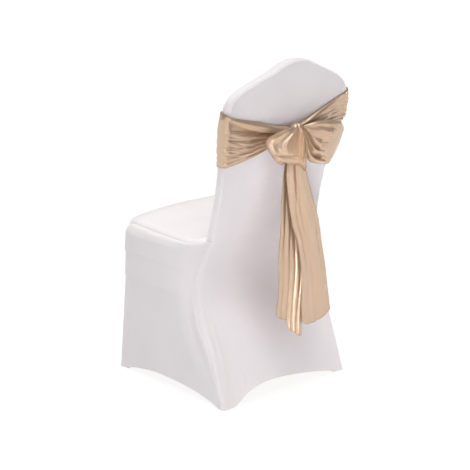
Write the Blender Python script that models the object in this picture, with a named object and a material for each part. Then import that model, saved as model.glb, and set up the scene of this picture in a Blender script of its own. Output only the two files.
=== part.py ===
"""A stretch chair cover with a satin sash tied in a bow behind the backrest.

The cover is sewn from panels. Neighbouring panels share one seam line, so all of them are first
laid out as a single skin, and each is then cut out of it and given the thickness of its cloth.
Heights are above the floor, x grows to the sitter's left, and y grows to the rear, from the line
where the seat meets the backrest. An empty then lowers everything, so that the origin lies under
the crown of the backrest, where the chair carries the cover.
"""

import math
from collections import namedtuple

import bmesh
import bpy
from mathutils import Vector

# Driving dimensions, in metres.
COVER_CLOTH = 0.002
SATIN = 0.0012
SEAM_GAP = 0.0006
SASH_CLEARANCE = 0.002
SLAB_DEPTH = 0.023
CROWN_HEIGHT = 0.9315
CROWN_BACK = 0.168
SEAT_SWELL = 0.018
BACK_SWELL = 0.010
HEM_PULL = 0.003
EDGE_RADIUS = 0.012
SLAB_RADIUS = 0.009
SEAT_RADIUS = 0.018
CORNER_RADIUS = 0.035
CREASE_RADIUS = 0.030
JOIN_RADIUS = 0.050
KNOT_LEVEL = 0.74
SHARP_ANGLE = math.radians(50)

POCKET_RADIUS = 0.034
POCKET_HEIGHT = 0.040
POCKET_ARC = 5
POCKET_INSET = 0.0021

KNOT_CENTRE = Vector((-0.012, 0.1445, 0.742))
KNOT_RADII = Vector((0.022, 0.0150, 0.0185))
KNOT_GROOVES = 5
KNOT_GROOVE_DEPTH = 0.10
KNOT_SEGMENTS = 20
KNOT_RINGS = 10

# The seat's crown dies away down the front skirt by this power, and falls this much to the rear.
SWELL_FADE = 8
SWELL_FALL = 0.4

# How much wider a seam's gap is for each panel over two that meets there.
MEETING_GAP = 0.5

CURVE_STEPS = 12
MERGE_DISTANCE = 1e-5
NO_LENGTH = 1e-7

# How the faces are spread: fractions along each direction of a panel.
ACROSS = (0, 0.018, 0.05, 0.11, 0.20, 0.30, 0.40, 0.5, 0.60, 0.70, 0.80, 0.89, 0.95, 0.982, 1)
UP_SKIRT = (0, 0.09, 0.19, 0.30, 0.41, 0.52, 0.62, 0.72, 0.81, 0.88, 0.94, 0.975, 1)
UP_BACK = tuple(step / 9 for step in range(10))
OVER_SEAT = (0, 0.05, 0.13, 0.27, 0.45, 0.65, 0.83, 0.94, 1)
OVER_EDGE = (0, 0.3, 0.7, 1)

Seam = namedtuple("Seam", "half_width back height")
Hem = namedtuple("Hem", "across height")
Band = namedtuple("Band", "x low high lift pleat")
Fold = namedtuple("Fold", "inner outer belly pleat")
Tail = namedtuple("Tail", "height left right back pleat")
Lobe = namedtuple("Lobe", "across height")

# The rear panel's edge, from a rear foot up to the seat's level ...
REAR_LEG = (
    Seam(0.220, 0.103, 0.000),
    Seam(0.222, 0.070, 0.090),
    Seam(0.221, 0.035, 0.185),
    Seam(0.217, 0.004, 0.265),
    Seam(0.209, -0.009, 0.325),
    Seam(0.198, -0.003, 0.375),
    Seam(0.190, 0.012, 0.415),
    Seam(0.1885, 0.030, 0.450),
)
# ... on to the shoulder of the backrest ...
BACKREST = (
    Seam(0.1885, 0.030, 0.450),
    Seam(0.184, 0.057, 0.550),
    Seam(0.186, 0.073, 0.605),
    Seam(0.193, 0.092, 0.665),
    Seam(0.203, 0.108, 0.725),
    Seam(0.210, 0.126, 0.785),
    Seam(0.205, 0.1355, 0.820),
)
# ... and over to the middle of its crown, which curves back between the shoulders.
CROWN = (
    Seam(0.205, 0.1355, 0.820),
    Seam(0.192, 0.1368, 0.845),
    Seam(0.167, 0.1399, 0.865),
    Seam(0.125, 0.1493, 0.885),
    Seam(0.079, 0.1610, 0.905),
    Seam(0.034, 0.1660, 0.925),
    Seam(0.000, CROWN_BACK, CROWN_HEIGHT),
)
# The seam between a side panel and the front skirt, from a front foot up to the seat's corner ...
FRONT_LEG = (
    Seam(0.2278, -0.3552, 0.000),
    Seam(0.2225, -0.3455, 0.110),
    Seam(0.2180, -0.3360, 0.210),
    Seam(0.2130, -0.3265, 0.310),
    Seam(0.2075, -0.3175, 0.400),
    Seam(0.2065, -0.3120, 0.434),
)
# ... and along the seat's side to the backrest.
SEAT_SIDE = (
    Seam(0.2065, -0.3120, 0.434),
    Seam(0.2115, -0.2850, 0.442),
    Seam(0.2150, -0.2450, 0.442),
    Seam(0.2155, -0.1600, 0.439),
    Seam(0.2130, -0.0450, 0.439),
    Seam(0.2030, -0.0120, 0.444),
    Seam(0.1885, 0.030 - SLAB_DEPTH, 0.450),
)
# Each hem rises in an arch between two feet. Across runs from the left foot or the rear foot.
REAR_HEM = (
    Hem(0.00, 0.000),
    Hem(0.068, 0.000),
    Hem(0.10, 0.004),
    Hem(0.14, 0.015),
    Hem(0.22, 0.033),
    Hem(0.39, 0.043),
    Hem(0.64, 0.031),
    Hem(0.82, 0.016),
    Hem(0.95, 0.001),
    Hem(1.00, 0.000),
)
SIDE_HEM = (
    Hem(0.00, 0.000),
    Hem(0.04, 0.000),
    Hem(0.12, 0.011),
    Hem(0.31, 0.024),
    Hem(0.60, 0.028),
    Hem(0.81, 0.018),
    Hem(0.93, 0.004),
    Hem(1.00, 0.000),
)

# The sash's band. On the rear panel it narrows from the backrest's sides to the knot, where it
# stands off the panel by its lift. Pleat is the depth of its lengthwise folds.
BAND_LEFT = (
    Band(0.000, 0.730, 0.752, 0.0095, 0.0025),
    Band(0.050, 0.704, 0.762, 0.008, 0.0050),
    Band(0.090, 0.685, 0.776, 0.004, 0.0045),
    Band(0.140, 0.671, 0.789, 0.001, 0.0035),
    Band(0.180, 0.667, 0.803, 0.000, 0.0020),
    Band(0.205, 0.667, 0.814, 0.000, 0.0010),
)
BAND_RIGHT = (
    Band(-0.024, 0.730, 0.750, 0.010, 0.0025),
    Band(-0.070, 0.708, 0.764, 0.008, 0.0050),
    Band(-0.114, 0.690, 0.782, 0.004, 0.0045),
    Band(-0.147, 0.678, 0.796, 0.001, 0.0035),
    Band(-0.179, 0.672, 0.811, 0.000, 0.0020),
    Band(-0.205, 0.668, 0.826, 0.000, 0.0010),
)

# The bow's loops: stations along the strip, from the front of the knot, round and back to it.
# Inner and outer are the strip's two edges there, and belly is how far it puffs out between them.
LOOP_LEFT = (
    Fold((0.004, 0.1566, 0.751), (-0.016, 0.1611, 0.748), 0.000, 0.0010),
    Fold((0.060, 0.165, 0.752), (-0.004, 0.184, 0.732), 0.004, 0.0040),
    Fold((0.114, 0.168, 0.735), (0.002, 0.200, 0.705), 0.006, 0.0030),
    Fold((0.099, 0.174, 0.694), (0.010, 0.206, 0.676), 0.004, 0.0010),
    Fold((0.076, 0.166, 0.666), (0.004, 0.194, 0.650), 0.002, 0.0010),
    Fold((0.054, 0.150, 0.660), (-0.008, 0.172, 0.640), 0.000, 0.0010),
    Fold((0.036, 0.141, 0.690), (-0.012, 0.156, 0.680), 0.000, 0.0020),
    Fold((0.008, 0.145, 0.7215), (-0.012, 0.148, 0.719), 0.000, 0.0010),
)
LOOP_RIGHT = (
    Fold((-0.0275, 0.1553, 0.752), (-0.0248, 0.1568, 0.735), 0.000, 0.0010),
    Fold((-0.066, 0.166, 0.758), (-0.030, 0.168, 0.664), 0.004, 0.0055),
    Fold((-0.118, 0.166, 0.754), (-0.070, 0.176, 0.646), 0.008, 0.0035),
    Fold((-0.158, 0.160, 0.740), (-0.106, 0.172, 0.641), 0.004, 0.0015),
    Fold((-0.178, 0.147, 0.723), (-0.130, 0.152, 0.644), 0.000, 0.0010),
    Fold((-0.160, 0.137, 0.730), (-0.124, 0.134, 0.655), 0.000, 0.0010),
    Fold((-0.095, 0.137, 0.746), (-0.080, 0.130, 0.690), 0.000, 0.0020),
    Fold((-0.0365, 0.1435, 0.750), (-0.0365, 0.1435, 0.736), 0.000, 0.0010),
)
LOOP_LENGTHS = 20

# The sash's two free ends, from under the knot downwards.
TAIL_LEFT = (
    Tail(0.728, 0.004, -0.018, 0.133, 0.0020),
    Tail(0.700, 0.012, -0.021, 0.126, 0.0030),
    Tail(0.646, 0.018, -0.026, 0.126, 0.0040),
    Tail(0.609, 0.0255, -0.029, 0.128, 0.0040),
    Tail(0.555, 0.030, -0.032, 0.128, 0.0035),
    Tail(0.473, 0.0345, -0.036, 0.128, 0.0025),
    Tail(0.391, 0.0395, -0.040, 0.128, 0.0020),
    Tail(0.308, 0.044, -0.041, 0.129, 0.0025),
    Tail(0.246, 0.049, -0.037, 0.130, 0.0040),
)
TAIL_RIGHT = (
    Tail(0.7236, 0.000, -0.026, 0.140, 0.0020),
    Tail(0.632, 0.022, -0.045, 0.143, 0.0045),
    Tail(0.560, 0.017, -0.065, 0.145, 0.0045),
    Tail(0.485, 0.006, -0.087, 0.146, 0.0035),
    Tail(0.440, -0.010, -0.096, 0.146, 0.0030),
    Tail(0.376, -0.021, -0.106, 0.146, 0.0025),
    Tail(0.300, -0.024, -0.117, 0.146, 0.0020),
    Tail(0.242, -0.025, -0.128, 0.147, 0.0015),
    Tail(0.211, -0.027, -0.134, 0.148, 0.0015),
)
# The cut ends, which hang unevenly.
END_LEFT = (
    Lobe(0.00, 0.230),
    Lobe(0.45, 0.214),
    Lobe(0.52, 0.184),
    Lobe(0.78, 0.164),
    Lobe(1.00, 0.162),
)
END_RIGHT = (
    Lobe(0.00, 0.198),
    Lobe(0.22, 0.192),
    Lobe(0.55, 0.195),
    Lobe(1.00, 0.212),
)
TAIL_LENGTHS = 14

# How deep each lengthwise fold is, from one edge of the strip to the other: a ridge is above 0.
BAND_FOLDS = (0.0, 1.0, 0.1, 0.7, 0.0, 0.9, 0.3, 1.0, 0.0, 0.8, 0.2)
FOLDS_LOOP_LEFT = (0.0, 0.5, -0.6, 0.3, 0.5, -0.9, 0.9, -0.8, 0.0)
FOLDS_LOOP_RIGHT = (0.0, 0.4, -0.5, 0.2, 0.8, -1.0, 0.9, -0.9, 0.0)
FOLDS_TAIL_LEFT = (0.3, -0.7, 0.4, 0.7, -0.6, 1.0, -0.8, 0.9, -0.3)
FOLDS_TAIL_RIGHT = (0.2, 0.9, -0.8, 0.5, 0.8, -0.7, -0.2, 0.9, -0.4)

WHITE_STRETCH = {"colour": (0.90, 0.89, 0.90, 1.0), "roughness": 0.85}
CHAMPAGNE_SATIN = {"colour": (0.66, 0.51, 0.34, 1.0), "roughness": 0.35}

HALF_ROOT = math.sqrt(0.5)


def lerp(start, end, share):
    """The value that lies this share of the way from start to end."""
    return start * (1 - share) + end * share


def table_value(rows, position, key, value):
    """The value column of a table at a position in its key column, by straight lines."""
    places = [getattr(row, key) for row in rows]
    values = [getattr(row, value) for row in rows]
    if places[0] > places[-1]:
        places, values = places[::-1], values[::-1]
    position = min(max(position, places[0]), places[-1])
    for index in range(1, len(places)):
        if position <= places[index]:
            share = (position - places[index - 1]) / (places[index] - places[index - 1])
            return lerp(values[index - 1], values[index], share)
    return values[-1]


def smooth_line(points, steps=CURVE_STEPS):
    """A smooth curve through the points, as points close together."""
    ends = [points[0] * 2 - points[1], *points, points[-1] * 2 - points[-2]]
    line = []
    for before, start, end, after in zip(ends, ends[1:], ends[2:], ends[3:]):
        for step in range(steps):
            t = step / steps
            line.append(
                0.5
                * (
                    2 * start
                    + (end - before) * t
                    + (2 * before - 5 * start + 4 * end - after) * t**2
                    + (3 * start - before - 3 * end + after) * t**3
                )
            )
    line.append(points[-1].copy())
    return line


def spaced(line, fractions):
    """The points of a line at the given fractions of its length."""
    travelled = [0.0]
    for start, end in zip(line, line[1:]):
        travelled.append(travelled[-1] + (end - start).length)
    found = []
    index = 1
    for fraction in fractions:
        goal = fraction * travelled[-1]
        while index < len(line) - 1 and travelled[index] < goal:
            index += 1
        run = travelled[index] - travelled[index - 1]
        share = (goal - travelled[index - 1]) / run
        found.append(lerp(line[index - 1], line[index], share))
    return found


def seam_line(rows, fractions):
    """A seam's points on the sitter's left, from its table."""
    points = [Vector((row.half_width, row.back, row.height)) for row in rows]
    return spaced(smooth_line(points), fractions)


def flipped(points):
    """The same points on the sitter's right."""
    return [Vector((-point.x, point.y, point.z)) for point in points]


def arch(start, end, rows, fractions, inward):
    """A hem between two feet, raised as its table says and pulled in a little."""
    points = []
    for fraction in fractions:
        point = lerp(start, end, fraction)
        point.z = table_value(rows, fraction, "across", "height")
        point += inward * HEM_PULL * 4 * fraction * (1 - fraction)
        points.append(point)
    return points


def stretched(bottom, top, left, right, acrosses, falls, climbs):
    """Rows of points between four seams. Seen from outside, they run left to right, bottom to top.

    falls and climbs hold, for each row, how much of the bottom's and of the top's curve it takes.
    """
    grid = []
    for row, (fall, climb) in enumerate(zip(falls, climbs)):
        points = []
        for column, across in enumerate(acrosses):
            sag = bottom[column] - lerp(bottom[0], bottom[-1], across)
            arc = top[column] - lerp(top[0], top[-1], across)
            points.append(lerp(left[row], right[row], across) + sag * fall + arc * climb)
        grid.append(points)
    return grid


def fillet(distance, radius):
    """How far a rounded edge has risen, from 0 at the seam to 1 on the flat."""
    left_to_go = max(radius * HALF_ROOT - distance, 0) / radius
    return (math.sqrt(1 - left_to_go**2) - HALF_ROOT) / (1 - HALF_ROOT)


def rounded(grid, left, right, bottom, top, swell):
    """The grid with its edges rounded off and its middle swollen outwards.

    left and right hold a radius for each row, bottom and top one radius or None, and swell takes
    the row and the share across.
    """
    shaped = []
    last_row, last_column = len(grid) - 1, len(grid[0]) - 1
    for i, row in enumerate(grid):
        points = []
        for j, point in enumerate(row):
            along = row[min(j + 1, last_column)] - row[max(j - 1, 0)]
            above = grid[min(i + 1, last_row)][j] - grid[max(i - 1, 0)][j]
            outwards = along.cross(above).normalized()
            from_left, from_right = (point - row[0]).length, (row[-1] - point).length
            across = from_left / (from_left + from_right)
            share = fillet(from_left, left[i]) * fillet(from_right, right[i])
            if bottom is not None:
                share *= fillet((point - grid[0][j]).length, bottom)
            if top is not None:
                share *= fillet((grid[-1][j] - point).length, top)
            rise = lerp(left[i], right[i], across) * (1 - HALF_ROOT) + swell(i, across)
            points.append(point + outwards * rise * share)
        shaped.append(points)
    return shaped


def bell(across):
    """A broad hump: 0 at both sides and 1 in the middle."""
    return math.sqrt(max(4 * across * (1 - across), 0))


def no_swell(row, across):
    """A panel that lies flat between its edges."""
    return 0.0


def back_swell(row, across):
    """The padding of the backrest, on the sitter's side."""
    return BACK_SWELL * bell(across)


def seat_swell(row, across):
    """The crown of the seat cushion, which dies away down the front skirt."""
    skirt_rows = len(UP_SKIRT) - 1
    if row < skirt_rows:
        return SEAT_SWELL * bell(across) * UP_SKIRT[row] ** SWELL_FADE
    over = OVER_SEAT[row - skirt_rows]
    return SEAT_SWELL * bell(across) * (1 - SWELL_FALL * over)


def cover_panels():
    """Every panel's grid by its name, with shared points along shared seams."""
    leg = seam_line(REAR_LEG, UP_SKIRT)
    side = seam_line(BACKREST, UP_BACK)
    half_crown = seam_line(CROWN, [2 * fraction for fraction in ACROSS if fraction <= 0.5])
    crown = half_crown + flipped(half_crown[-2::-1])
    corner = seam_line(FRONT_LEG, UP_SKIRT)
    seat_side = seam_line(SEAT_SIDE, OVER_SEAT)

    forwards = Vector((0, -SLAB_DEPTH, 0))
    front_side = [point + forwards for point in side]
    front_crown = [point + forwards for point in crown]
    crease = [lerp(front_side[0], flipped(front_side[:1])[0], share) for share in ACROSS]
    gusset_end = [lerp(front_side[0], side[0], share) for share in OVER_EDGE]

    rear_hem = arch(leg[0], flipped(leg[:1])[0], REAR_HEM, ACROSS, Vector((0, -1, 0)))
    front_hem = arch(corner[0], flipped(corner[:1])[0], REAR_HEM, ACROSS, Vector((0, 1, 0)))
    top_line = seat_side[:-1] + gusset_end
    lengths = [0.0]
    for start, end in zip(top_line, top_line[1:]):
        lengths.append(lengths[-1] + (end - start).length)
    along_side = [length / lengths[-1] for length in lengths]
    from_rear = [1 - share for share in along_side]
    side_hem = arch(leg[0], corner[0], SIDE_HEM, from_rear, Vector((-1, 0, 0)))

    skirt_radii = [lerp(EDGE_RADIUS, CORNER_RADIUS, up**2) for up in UP_SKIRT]
    seat_radii = [SEAT_RADIUS] * (len(OVER_SEAT) - 1)
    upright_rows = len(UP_SKIRT) + len(UP_BACK) - 1
    rear_radii = [EDGE_RADIUS] * len(UP_SKIRT) + [SLAB_RADIUS] * (upright_rows - len(UP_SKIRT))

    upright = leg + side[1:]
    skirt_falls = [1 - up for up in UP_SKIRT]
    back_climbs = [0.0] * len(UP_SKIRT) + list(UP_BACK[1:])
    rear = rounded(
        stretched(
            rear_hem, crown, upright, flipped(upright), ACROSS,
            skirt_falls + [0.0] * (len(UP_BACK) - 1), back_climbs,
        ),
        rear_radii, rear_radii, None, SLAB_RADIUS, no_swell,
    )
    inside = rounded(
        stretched(
            crease[::-1], front_crown[::-1], flipped(front_side), front_side, ACROSS,
            [0.0] * len(UP_BACK), UP_BACK,
        ),
        [SLAB_RADIUS] * len(UP_BACK), [SLAB_RADIUS] * len(UP_BACK), CREASE_RADIUS, SLAB_RADIUS,
        back_swell,
    )
    rear_edge = side + crown[1:-1] + flipped(side[::-1])
    front_edge = [point + forwards for point in rear_edge]
    gusset = [[lerp(a, b, share) for share in OVER_EDGE] for a, b in zip(front_edge, rear_edge)]
    slab_radii = [SLAB_RADIUS] * len(gusset)
    gusset = rounded(gusset, slab_radii, slab_radii, JOIN_RADIUS, JOIN_RADIUS, no_swell)

    front_up = corner + seat_side[1:]
    seat_falls = skirt_falls + [0.0] * (len(OVER_SEAT) - 1)
    seat_edge = skirt_radii + seat_radii
    seat = rounded(
        stretched(
            front_hem[::-1], crease[::-1], flipped(front_up), front_up, ACROSS,
            seat_falls, [0.0] * len(seat_falls),
        ),
        seat_edge, seat_edge, None, CREASE_RADIUS, seat_swell,
    )
    skirt_side = rounded(
        stretched(side_hem, top_line, corner, leg, along_side, skirt_falls, UP_SKIRT),
        skirt_radii, [EDGE_RADIUS] * len(leg), None, SEAT_RADIUS, no_swell,
    )
    return {
        "rear_panel": rear,
        "inside_back": inside,
        "edge_gusset": gusset,
        "seat_panel": seat,
        "side_panel_left": skirt_side,
        "side_panel_right": [flipped(row[::-1]) for row in skirt_side],
    }


def add_grid(mesh, grid):
    """Adds a grid of faces through these rows of points, and returns its faces."""
    rows, columns = len(grid) - 1, len(grid[0]) - 1
    made = bmesh.ops.create_grid(mesh, x_segments=columns, y_segments=rows, size=0.5)
    for vert in made["verts"]:
        column = round((vert.co.x + 0.5) * columns)
        row = round((vert.co.y + 0.5) * rows)
        vert.co = grid[row][column]
    return {face for vert in made["verts"] for face in vert.link_faces}


def cover_skin(panels):
    """One mesh of every panel, joined at the seams, with each face marked by its panel."""
    skin = bmesh.new()
    panel_of = skin.faces.layers.int.new("panel")
    for index, grid in enumerate(panels.values()):
        for face in add_grid(skin, grid):
            face[panel_of] = index
    bmesh.ops.remove_doubles(skin, verts=skin.verts, dist=MERGE_DISTANCE)
    bmesh.ops.triangulate(skin, faces=skin.faces, quad_method="SHORT_EDGE")
    skin.normal_update()
    return skin, panel_of


def pull_in(vert, faces, panel_of):
    """How a point on a panel's edge moves into the panel, to leave half the gap of its seam.

    Where more than two panels meet, the gap is wider.
    """
    meeting = len({face[panel_of] for face in vert.link_faces})
    half_gap = SEAM_GAP / 2 * (1 + MEETING_GAP * max(meeting - 2, 0))
    inwards = []
    for edge in vert.link_edges:
        own = [face for face in edge.link_faces if face in faces]
        if len(own) != 1 or len(edge.link_faces) == 1:
            continue
        along = (edge.verts[1].co - edge.verts[0].co).normalized()
        side = own[0].normal.cross(along)
        if side.dot(own[0].calc_center_median() - vert.co) < 0:
            side.negate()
        inwards.append(side)
    if not inwards:
        return Vector()
    if len(inwards) == 1:
        return inwards[0] * half_gap
    return (inwards[0] + inwards[1]) * half_gap / (1 + inwards[0].dot(inwards[1]))


def panel_solid(faces, panel_of):
    """The mesh of one panel: its faces, the same faces inside the cloth, and the cut edge."""
    solid = bmesh.new()
    outer, inner = {}, {}
    for vert in {vert for face in faces for vert in face.verts}:
        outside = vert.co + pull_in(vert, faces, panel_of)
        inwards = vert.normal * COVER_CLOTH * vert.calc_shell_factor()
        outer[vert] = solid.verts.new(outside)
        inner[vert] = solid.verts.new(outside - inwards)
    for face in faces:
        solid.faces.new([outer[vert] for vert in face.verts])
        solid.faces.new([inner[vert] for vert in reversed(face.verts)])
        for loop in face.loops:
            if sum(other in faces for other in loop.edge.link_faces) == 1:
                first, second = sorted(loop.edge.verts, key=lambda vert: tuple(vert.co))
                solid.faces.new([outer[first], inner[first], inner[second]])
                solid.faces.new([outer[first], inner[second], outer[second]])
    bmesh.ops.recalc_face_normals(solid, faces=solid.faces)
    return solid


def cloth_material(name, finish):
    """A plain cloth material of the given colour and roughness."""
    material = bpy.data.materials.new(name)
    material.use_nodes = True
    shader = material.node_tree.nodes["Principled BSDF"]
    shader.inputs["Base Color"].default_value = finish["colour"]
    shader.inputs["Roughness"].default_value = finish["roughness"]
    shader.inputs["Metallic"].default_value = 0.0
    material.diffuse_color = finish["colour"]
    return material


def place(name, solid, finish, parent):
    """Makes an object of a bmesh, smooth but for its sharp edges."""
    mesh = bpy.data.meshes.new(name)
    solid.to_mesh(mesh)
    solid.free()
    mesh.shade_smooth()
    mesh.set_sharp_from_angle(angle=SHARP_ANGLE)
    mesh.materials.append(cloth_material(name, finish))
    thing = bpy.data.objects.new(name, mesh)
    bpy.context.scene.collection.objects.link(thing)
    thing.parent = parent
    return thing


def foot_pocket(corner, leg, inward_x, inward_y):
    """A pocket closed under a chair's foot: a floor and a curved wall across the skirt's corner.

    leg is the way that the chair's leg leans for each metre of height.
    """
    solid = bmesh.new()
    heel = corner + Vector((inward_x, inward_y, 0)) * POCKET_INSET

    def ring(radius, height):
        points = []
        for step in range(POCKET_ARC + 1):
            turn = math.pi / 2 * step / POCKET_ARC
            across = Vector((inward_x * math.cos(turn), inward_y * math.sin(turn), 0))
            points.append(solid.verts.new(heel + across * radius + leg * height))
        return points

    inner_radius = POCKET_RADIUS - COVER_CLOTH
    heel_low = solid.verts.new(heel)
    heel_high = solid.verts.new(heel + leg * COVER_CLOTH)
    outer_low = ring(POCKET_RADIUS, 0)
    outer_high = ring(POCKET_RADIUS, POCKET_HEIGHT)
    inner_high = ring(inner_radius, POCKET_HEIGHT)
    inner_low = ring(inner_radius, COVER_CLOTH)
    solid.faces.new([heel_low, *outer_low])
    solid.faces.new([heel_high, *inner_low])
    for step in range(POCKET_ARC):
        for low, high in ((outer_low, outer_high), (outer_high, inner_high), (inner_high, inner_low)):
            solid.faces.new([low[step], low[step + 1], high[step + 1], high[step]])
    for end in (0, POCKET_ARC):
        solid.faces.new([heel_low, outer_low[end], inner_low[end], heel_high])
        solid.faces.new([outer_low[end], outer_high[end], inner_high[end], inner_low[end]])
    bmesh.ops.recalc_face_normals(solid, faces=solid.faces)
    return solid


def ribbon(name, rows, parent, offset=0.0):
    """A strip of satin through these rows of points, with its thickness added by a modifier."""
    strip = bmesh.new()
    add_grid(strip, rows)
    thing = place(name, strip, CHAMPAGNE_SATIN, parent)
    thickness = thing.modifiers.new("Thickness", "SOLIDIFY")
    thickness.thickness = SATIN
    thickness.offset = offset
    thickness.use_quality_normals = True
    return thing


def folded_rows(stations, lengths, folds):
    """The rows of a loop of the bow, from its stations and the depths of its folds."""
    fractions = [step / lengths for step in range(lengths + 1)]
    inner = spaced(smooth_line([Vector(station.inner) for station in stations]), fractions)
    outer = spaced(smooth_line([Vector(station.outer) for station in stations]), fractions)
    rows = []
    for index, fraction in enumerate(fractions):
        place_in_table = fraction * (len(stations) - 1)
        start = min(int(place_in_table), len(stations) - 2)
        share = place_in_table - start
        belly = lerp(stations[start].belly, stations[start + 1].belly, share)
        pleat = lerp(stations[start].pleat, stations[start + 1].pleat, share)
        middle = [lerp(inner[k], outer[k], 0.5) for k in range(len(inner))]
        onward = middle[min(index + 1, lengths)] - middle[max(index - 1, 0)]
        outwards = (outer[index] - inner[index]).cross(onward).normalized()
        row = []
        for step, depth in enumerate(folds):
            across = step / (len(folds) - 1)
            rise = belly * bell(across) + pleat * depth
            row.append(lerp(inner[index], outer[index], across) + outwards * rise)
        rows.append(row)
    return rows


def tail_rows(stations, ends, lengths, folds):
    """The rows of a hanging end of the sash, from its cut edge up to the knot."""
    top, lowest = stations[0].height, stations[-1].height
    rows = []
    for step in range(lengths + 1):
        row = []
        for fold, depth in enumerate(folds):
            across = fold / (len(folds) - 1)
            end = table_value(ends, across, "across", "height")
            height = lerp(end, top, step / lengths)
            looked_up = max(height, lowest)
            left, right, back, pleat = (
                table_value(stations, looked_up, "height", column)
                for column in ("left", "right", "back", "pleat")
            )
            row.append(Vector((lerp(left, right, across), back + pleat * depth, height)))
        rows.append(row)
    return rows


def at_height(column, height):
    """The point at this height on a line of points that climbs or falls all the way."""
    rising = column if column[-1].z > column[0].z else column[::-1]
    for low, high in zip(rising, rising[1:]):
        if height <= high.z:
            break
    return lerp(low, high, (height - low.z) / (high.z - low.z))


def band_stations(panels):
    """Lines up the cover, in turn round the backrest from the knot to the knot, each with its row
    of the band's tables."""
    rear = list(zip(*panels["rear_panel"]))
    front = list(zip(*panels["inside_back"]))
    edge_rows = len(UP_BACK)
    gusset_left = list(zip(*panels["edge_gusset"][:edge_rows]))
    gusset_right = list(zip(*panels["edge_gusset"][-edge_rows:]))
    last, middle = len(ACROSS) - 1, len(ACROSS) // 2

    def beside_knot(rows, neighbour):
        share = rows[0].x / rear[neighbour][len(UP_SKIRT)].x
        return [lerp(a, b, share) for a, b in zip(rear[middle], rear[neighbour])]

    left = [beside_knot(BAND_LEFT, middle - 1), *rear[middle - 1 :: -1], *gusset_left[-2:0:-1]]
    right = [*gusset_right[1:-1], *rear[:middle:-1]]
    if BAND_RIGHT[0].x > rear[middle + 1][len(UP_SKIRT)].x:
        right.append(beside_knot(BAND_RIGHT, middle + 1))
    over_front = front[::-1]
    stations = [(column, BAND_LEFT, None) for column in left]
    stations += [
        (column, None, index / (len(over_front) - 1)) for index, column in enumerate(over_front)
    ]
    stations += [(column, BAND_RIGHT, None) for column in right]
    return stations


def band_values(column, table, across_front):
    """The band's edges, lift and pleat at one line up the cover."""
    names = Band._fields[1:]
    if table is None:
        return [
            lerp(getattr(BAND_LEFT[-1], name), getattr(BAND_RIGHT[-1], name), across_front)
            for name in names
        ]
    x = at_height(column, KNOT_LEVEL).x
    return [table_value(table, x, "x", name) for name in names]


def way_out(before, point, after):
    """The level offset at a corner of a path that keeps one metre from both of its sides."""
    sides = []
    for start, end in ((before, point), (point, after)):
        along = Vector((end.x - start.x, end.y - start.y, 0))
        if along.length > NO_LENGTH:
            sides.append(Vector((along.y, -along.x, 0)).normalized())
    total = sides[0] + sides[-1]
    return total / (1 + sides[0].dot(sides[-1]))


def band_rows(panels):
    """The rows of the sash's band: it lies on the cover and is gathered towards the knot."""
    stations = band_stations(panels)
    columns = [column for column, _, _ in stations]
    rows = []
    for index, (column, table, across_front) in enumerate(stations):
        low, high, lift, pleat = band_values(column, table, across_front)
        row = []
        for fold, depth in enumerate(BAND_FOLDS):
            height = lerp(low, high, fold / (len(BAND_FOLDS) - 1))
            point = at_height(column, height)
            before = at_height(columns[max(index - 1, 0)], height)
            after = at_height(columns[min(index + 1, len(columns) - 1)], height)
            rise = SASH_CLEARANCE + lift + pleat * depth
            row.append(point - way_out(before, point, after) * rise)
        rows.append(row)
    return rows


def knot_solid():
    """A small knot, its surface furrowed by the satin's gathers."""
    solid = bmesh.new()
    bmesh.ops.create_uvsphere(solid, u_segments=KNOT_SEGMENTS, v_segments=KNOT_RINGS, radius=1)
    for vert in solid.verts:
        turn = math.atan2(vert.co.z, vert.co.x)
        depth = (1 + math.cos(2 * KNOT_GROOVES * turn)) / 2
        groove = 1 - KNOT_GROOVE_DEPTH * depth
        flatness = math.hypot(vert.co.x, vert.co.z)
        scale = lerp(1, groove, flatness)
        vert.co = KNOT_CENTRE + vert.co * scale * KNOT_RADII
    return solid


def build():
    """Clears the scene and models the cover and its sash."""
    for thing in list(bpy.data.objects):
        bpy.data.objects.remove(thing, do_unlink=True)
    base = bpy.data.objects.new("chair_cover", None)
    bpy.context.scene.collection.objects.link(base)
    crown_top = CROWN_HEIGHT + SLAB_RADIUS * (1 - HALF_ROOT)
    base.location = -Vector((0, CROWN_BACK - SLAB_DEPTH / 2, crown_top - COVER_CLOTH))

    panels = cover_panels()
    skin, panel_of = cover_skin(panels)
    for index, name in enumerate(panels):
        faces = {face for face in skin.faces if face[panel_of] == index}
        place(name, panel_solid(faces, panel_of), WHITE_STRETCH, base)
    skin.free()

    for end, rows, towards_middle in (("rear", REAR_LEG, -1), ("front", FRONT_LEG, 1)):
        for hand, side in (("left", 1), ("right", -1)):
            foot, knee = rows[0], rows[1]
            corner = Vector((side * foot.half_width, foot.back, 0))
            lean = Vector((side * (knee.half_width - foot.half_width), knee.back - foot.back, 0))
            leg = lean / knee.height + Vector((0, 0, 1))
            pocket = foot_pocket(corner, leg, -side, towards_middle)
            place(f"foot_pocket_{end}_{hand}", pocket, WHITE_STRETCH, base)

    ribbon("sash_band", band_rows(panels), base, offset=1.0)
    place("sash_knot", knot_solid(), CHAMPAGNE_SATIN, base)
    ribbon("sash_loop_left", folded_rows(LOOP_LEFT, LOOP_LENGTHS, FOLDS_LOOP_LEFT), base)
    ribbon("sash_loop_right", folded_rows(LOOP_RIGHT, LOOP_LENGTHS, FOLDS_LOOP_RIGHT), base)
    left_end = tail_rows(TAIL_LEFT, END_LEFT, TAIL_LENGTHS, FOLDS_TAIL_LEFT)
    right_end = tail_rows(TAIL_RIGHT, END_RIGHT, TAIL_LENGTHS, FOLDS_TAIL_RIGHT)
    ribbon("sash_tail_left", left_end, base)
    ribbon("sash_tail_right", right_end, base)


build()
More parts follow.
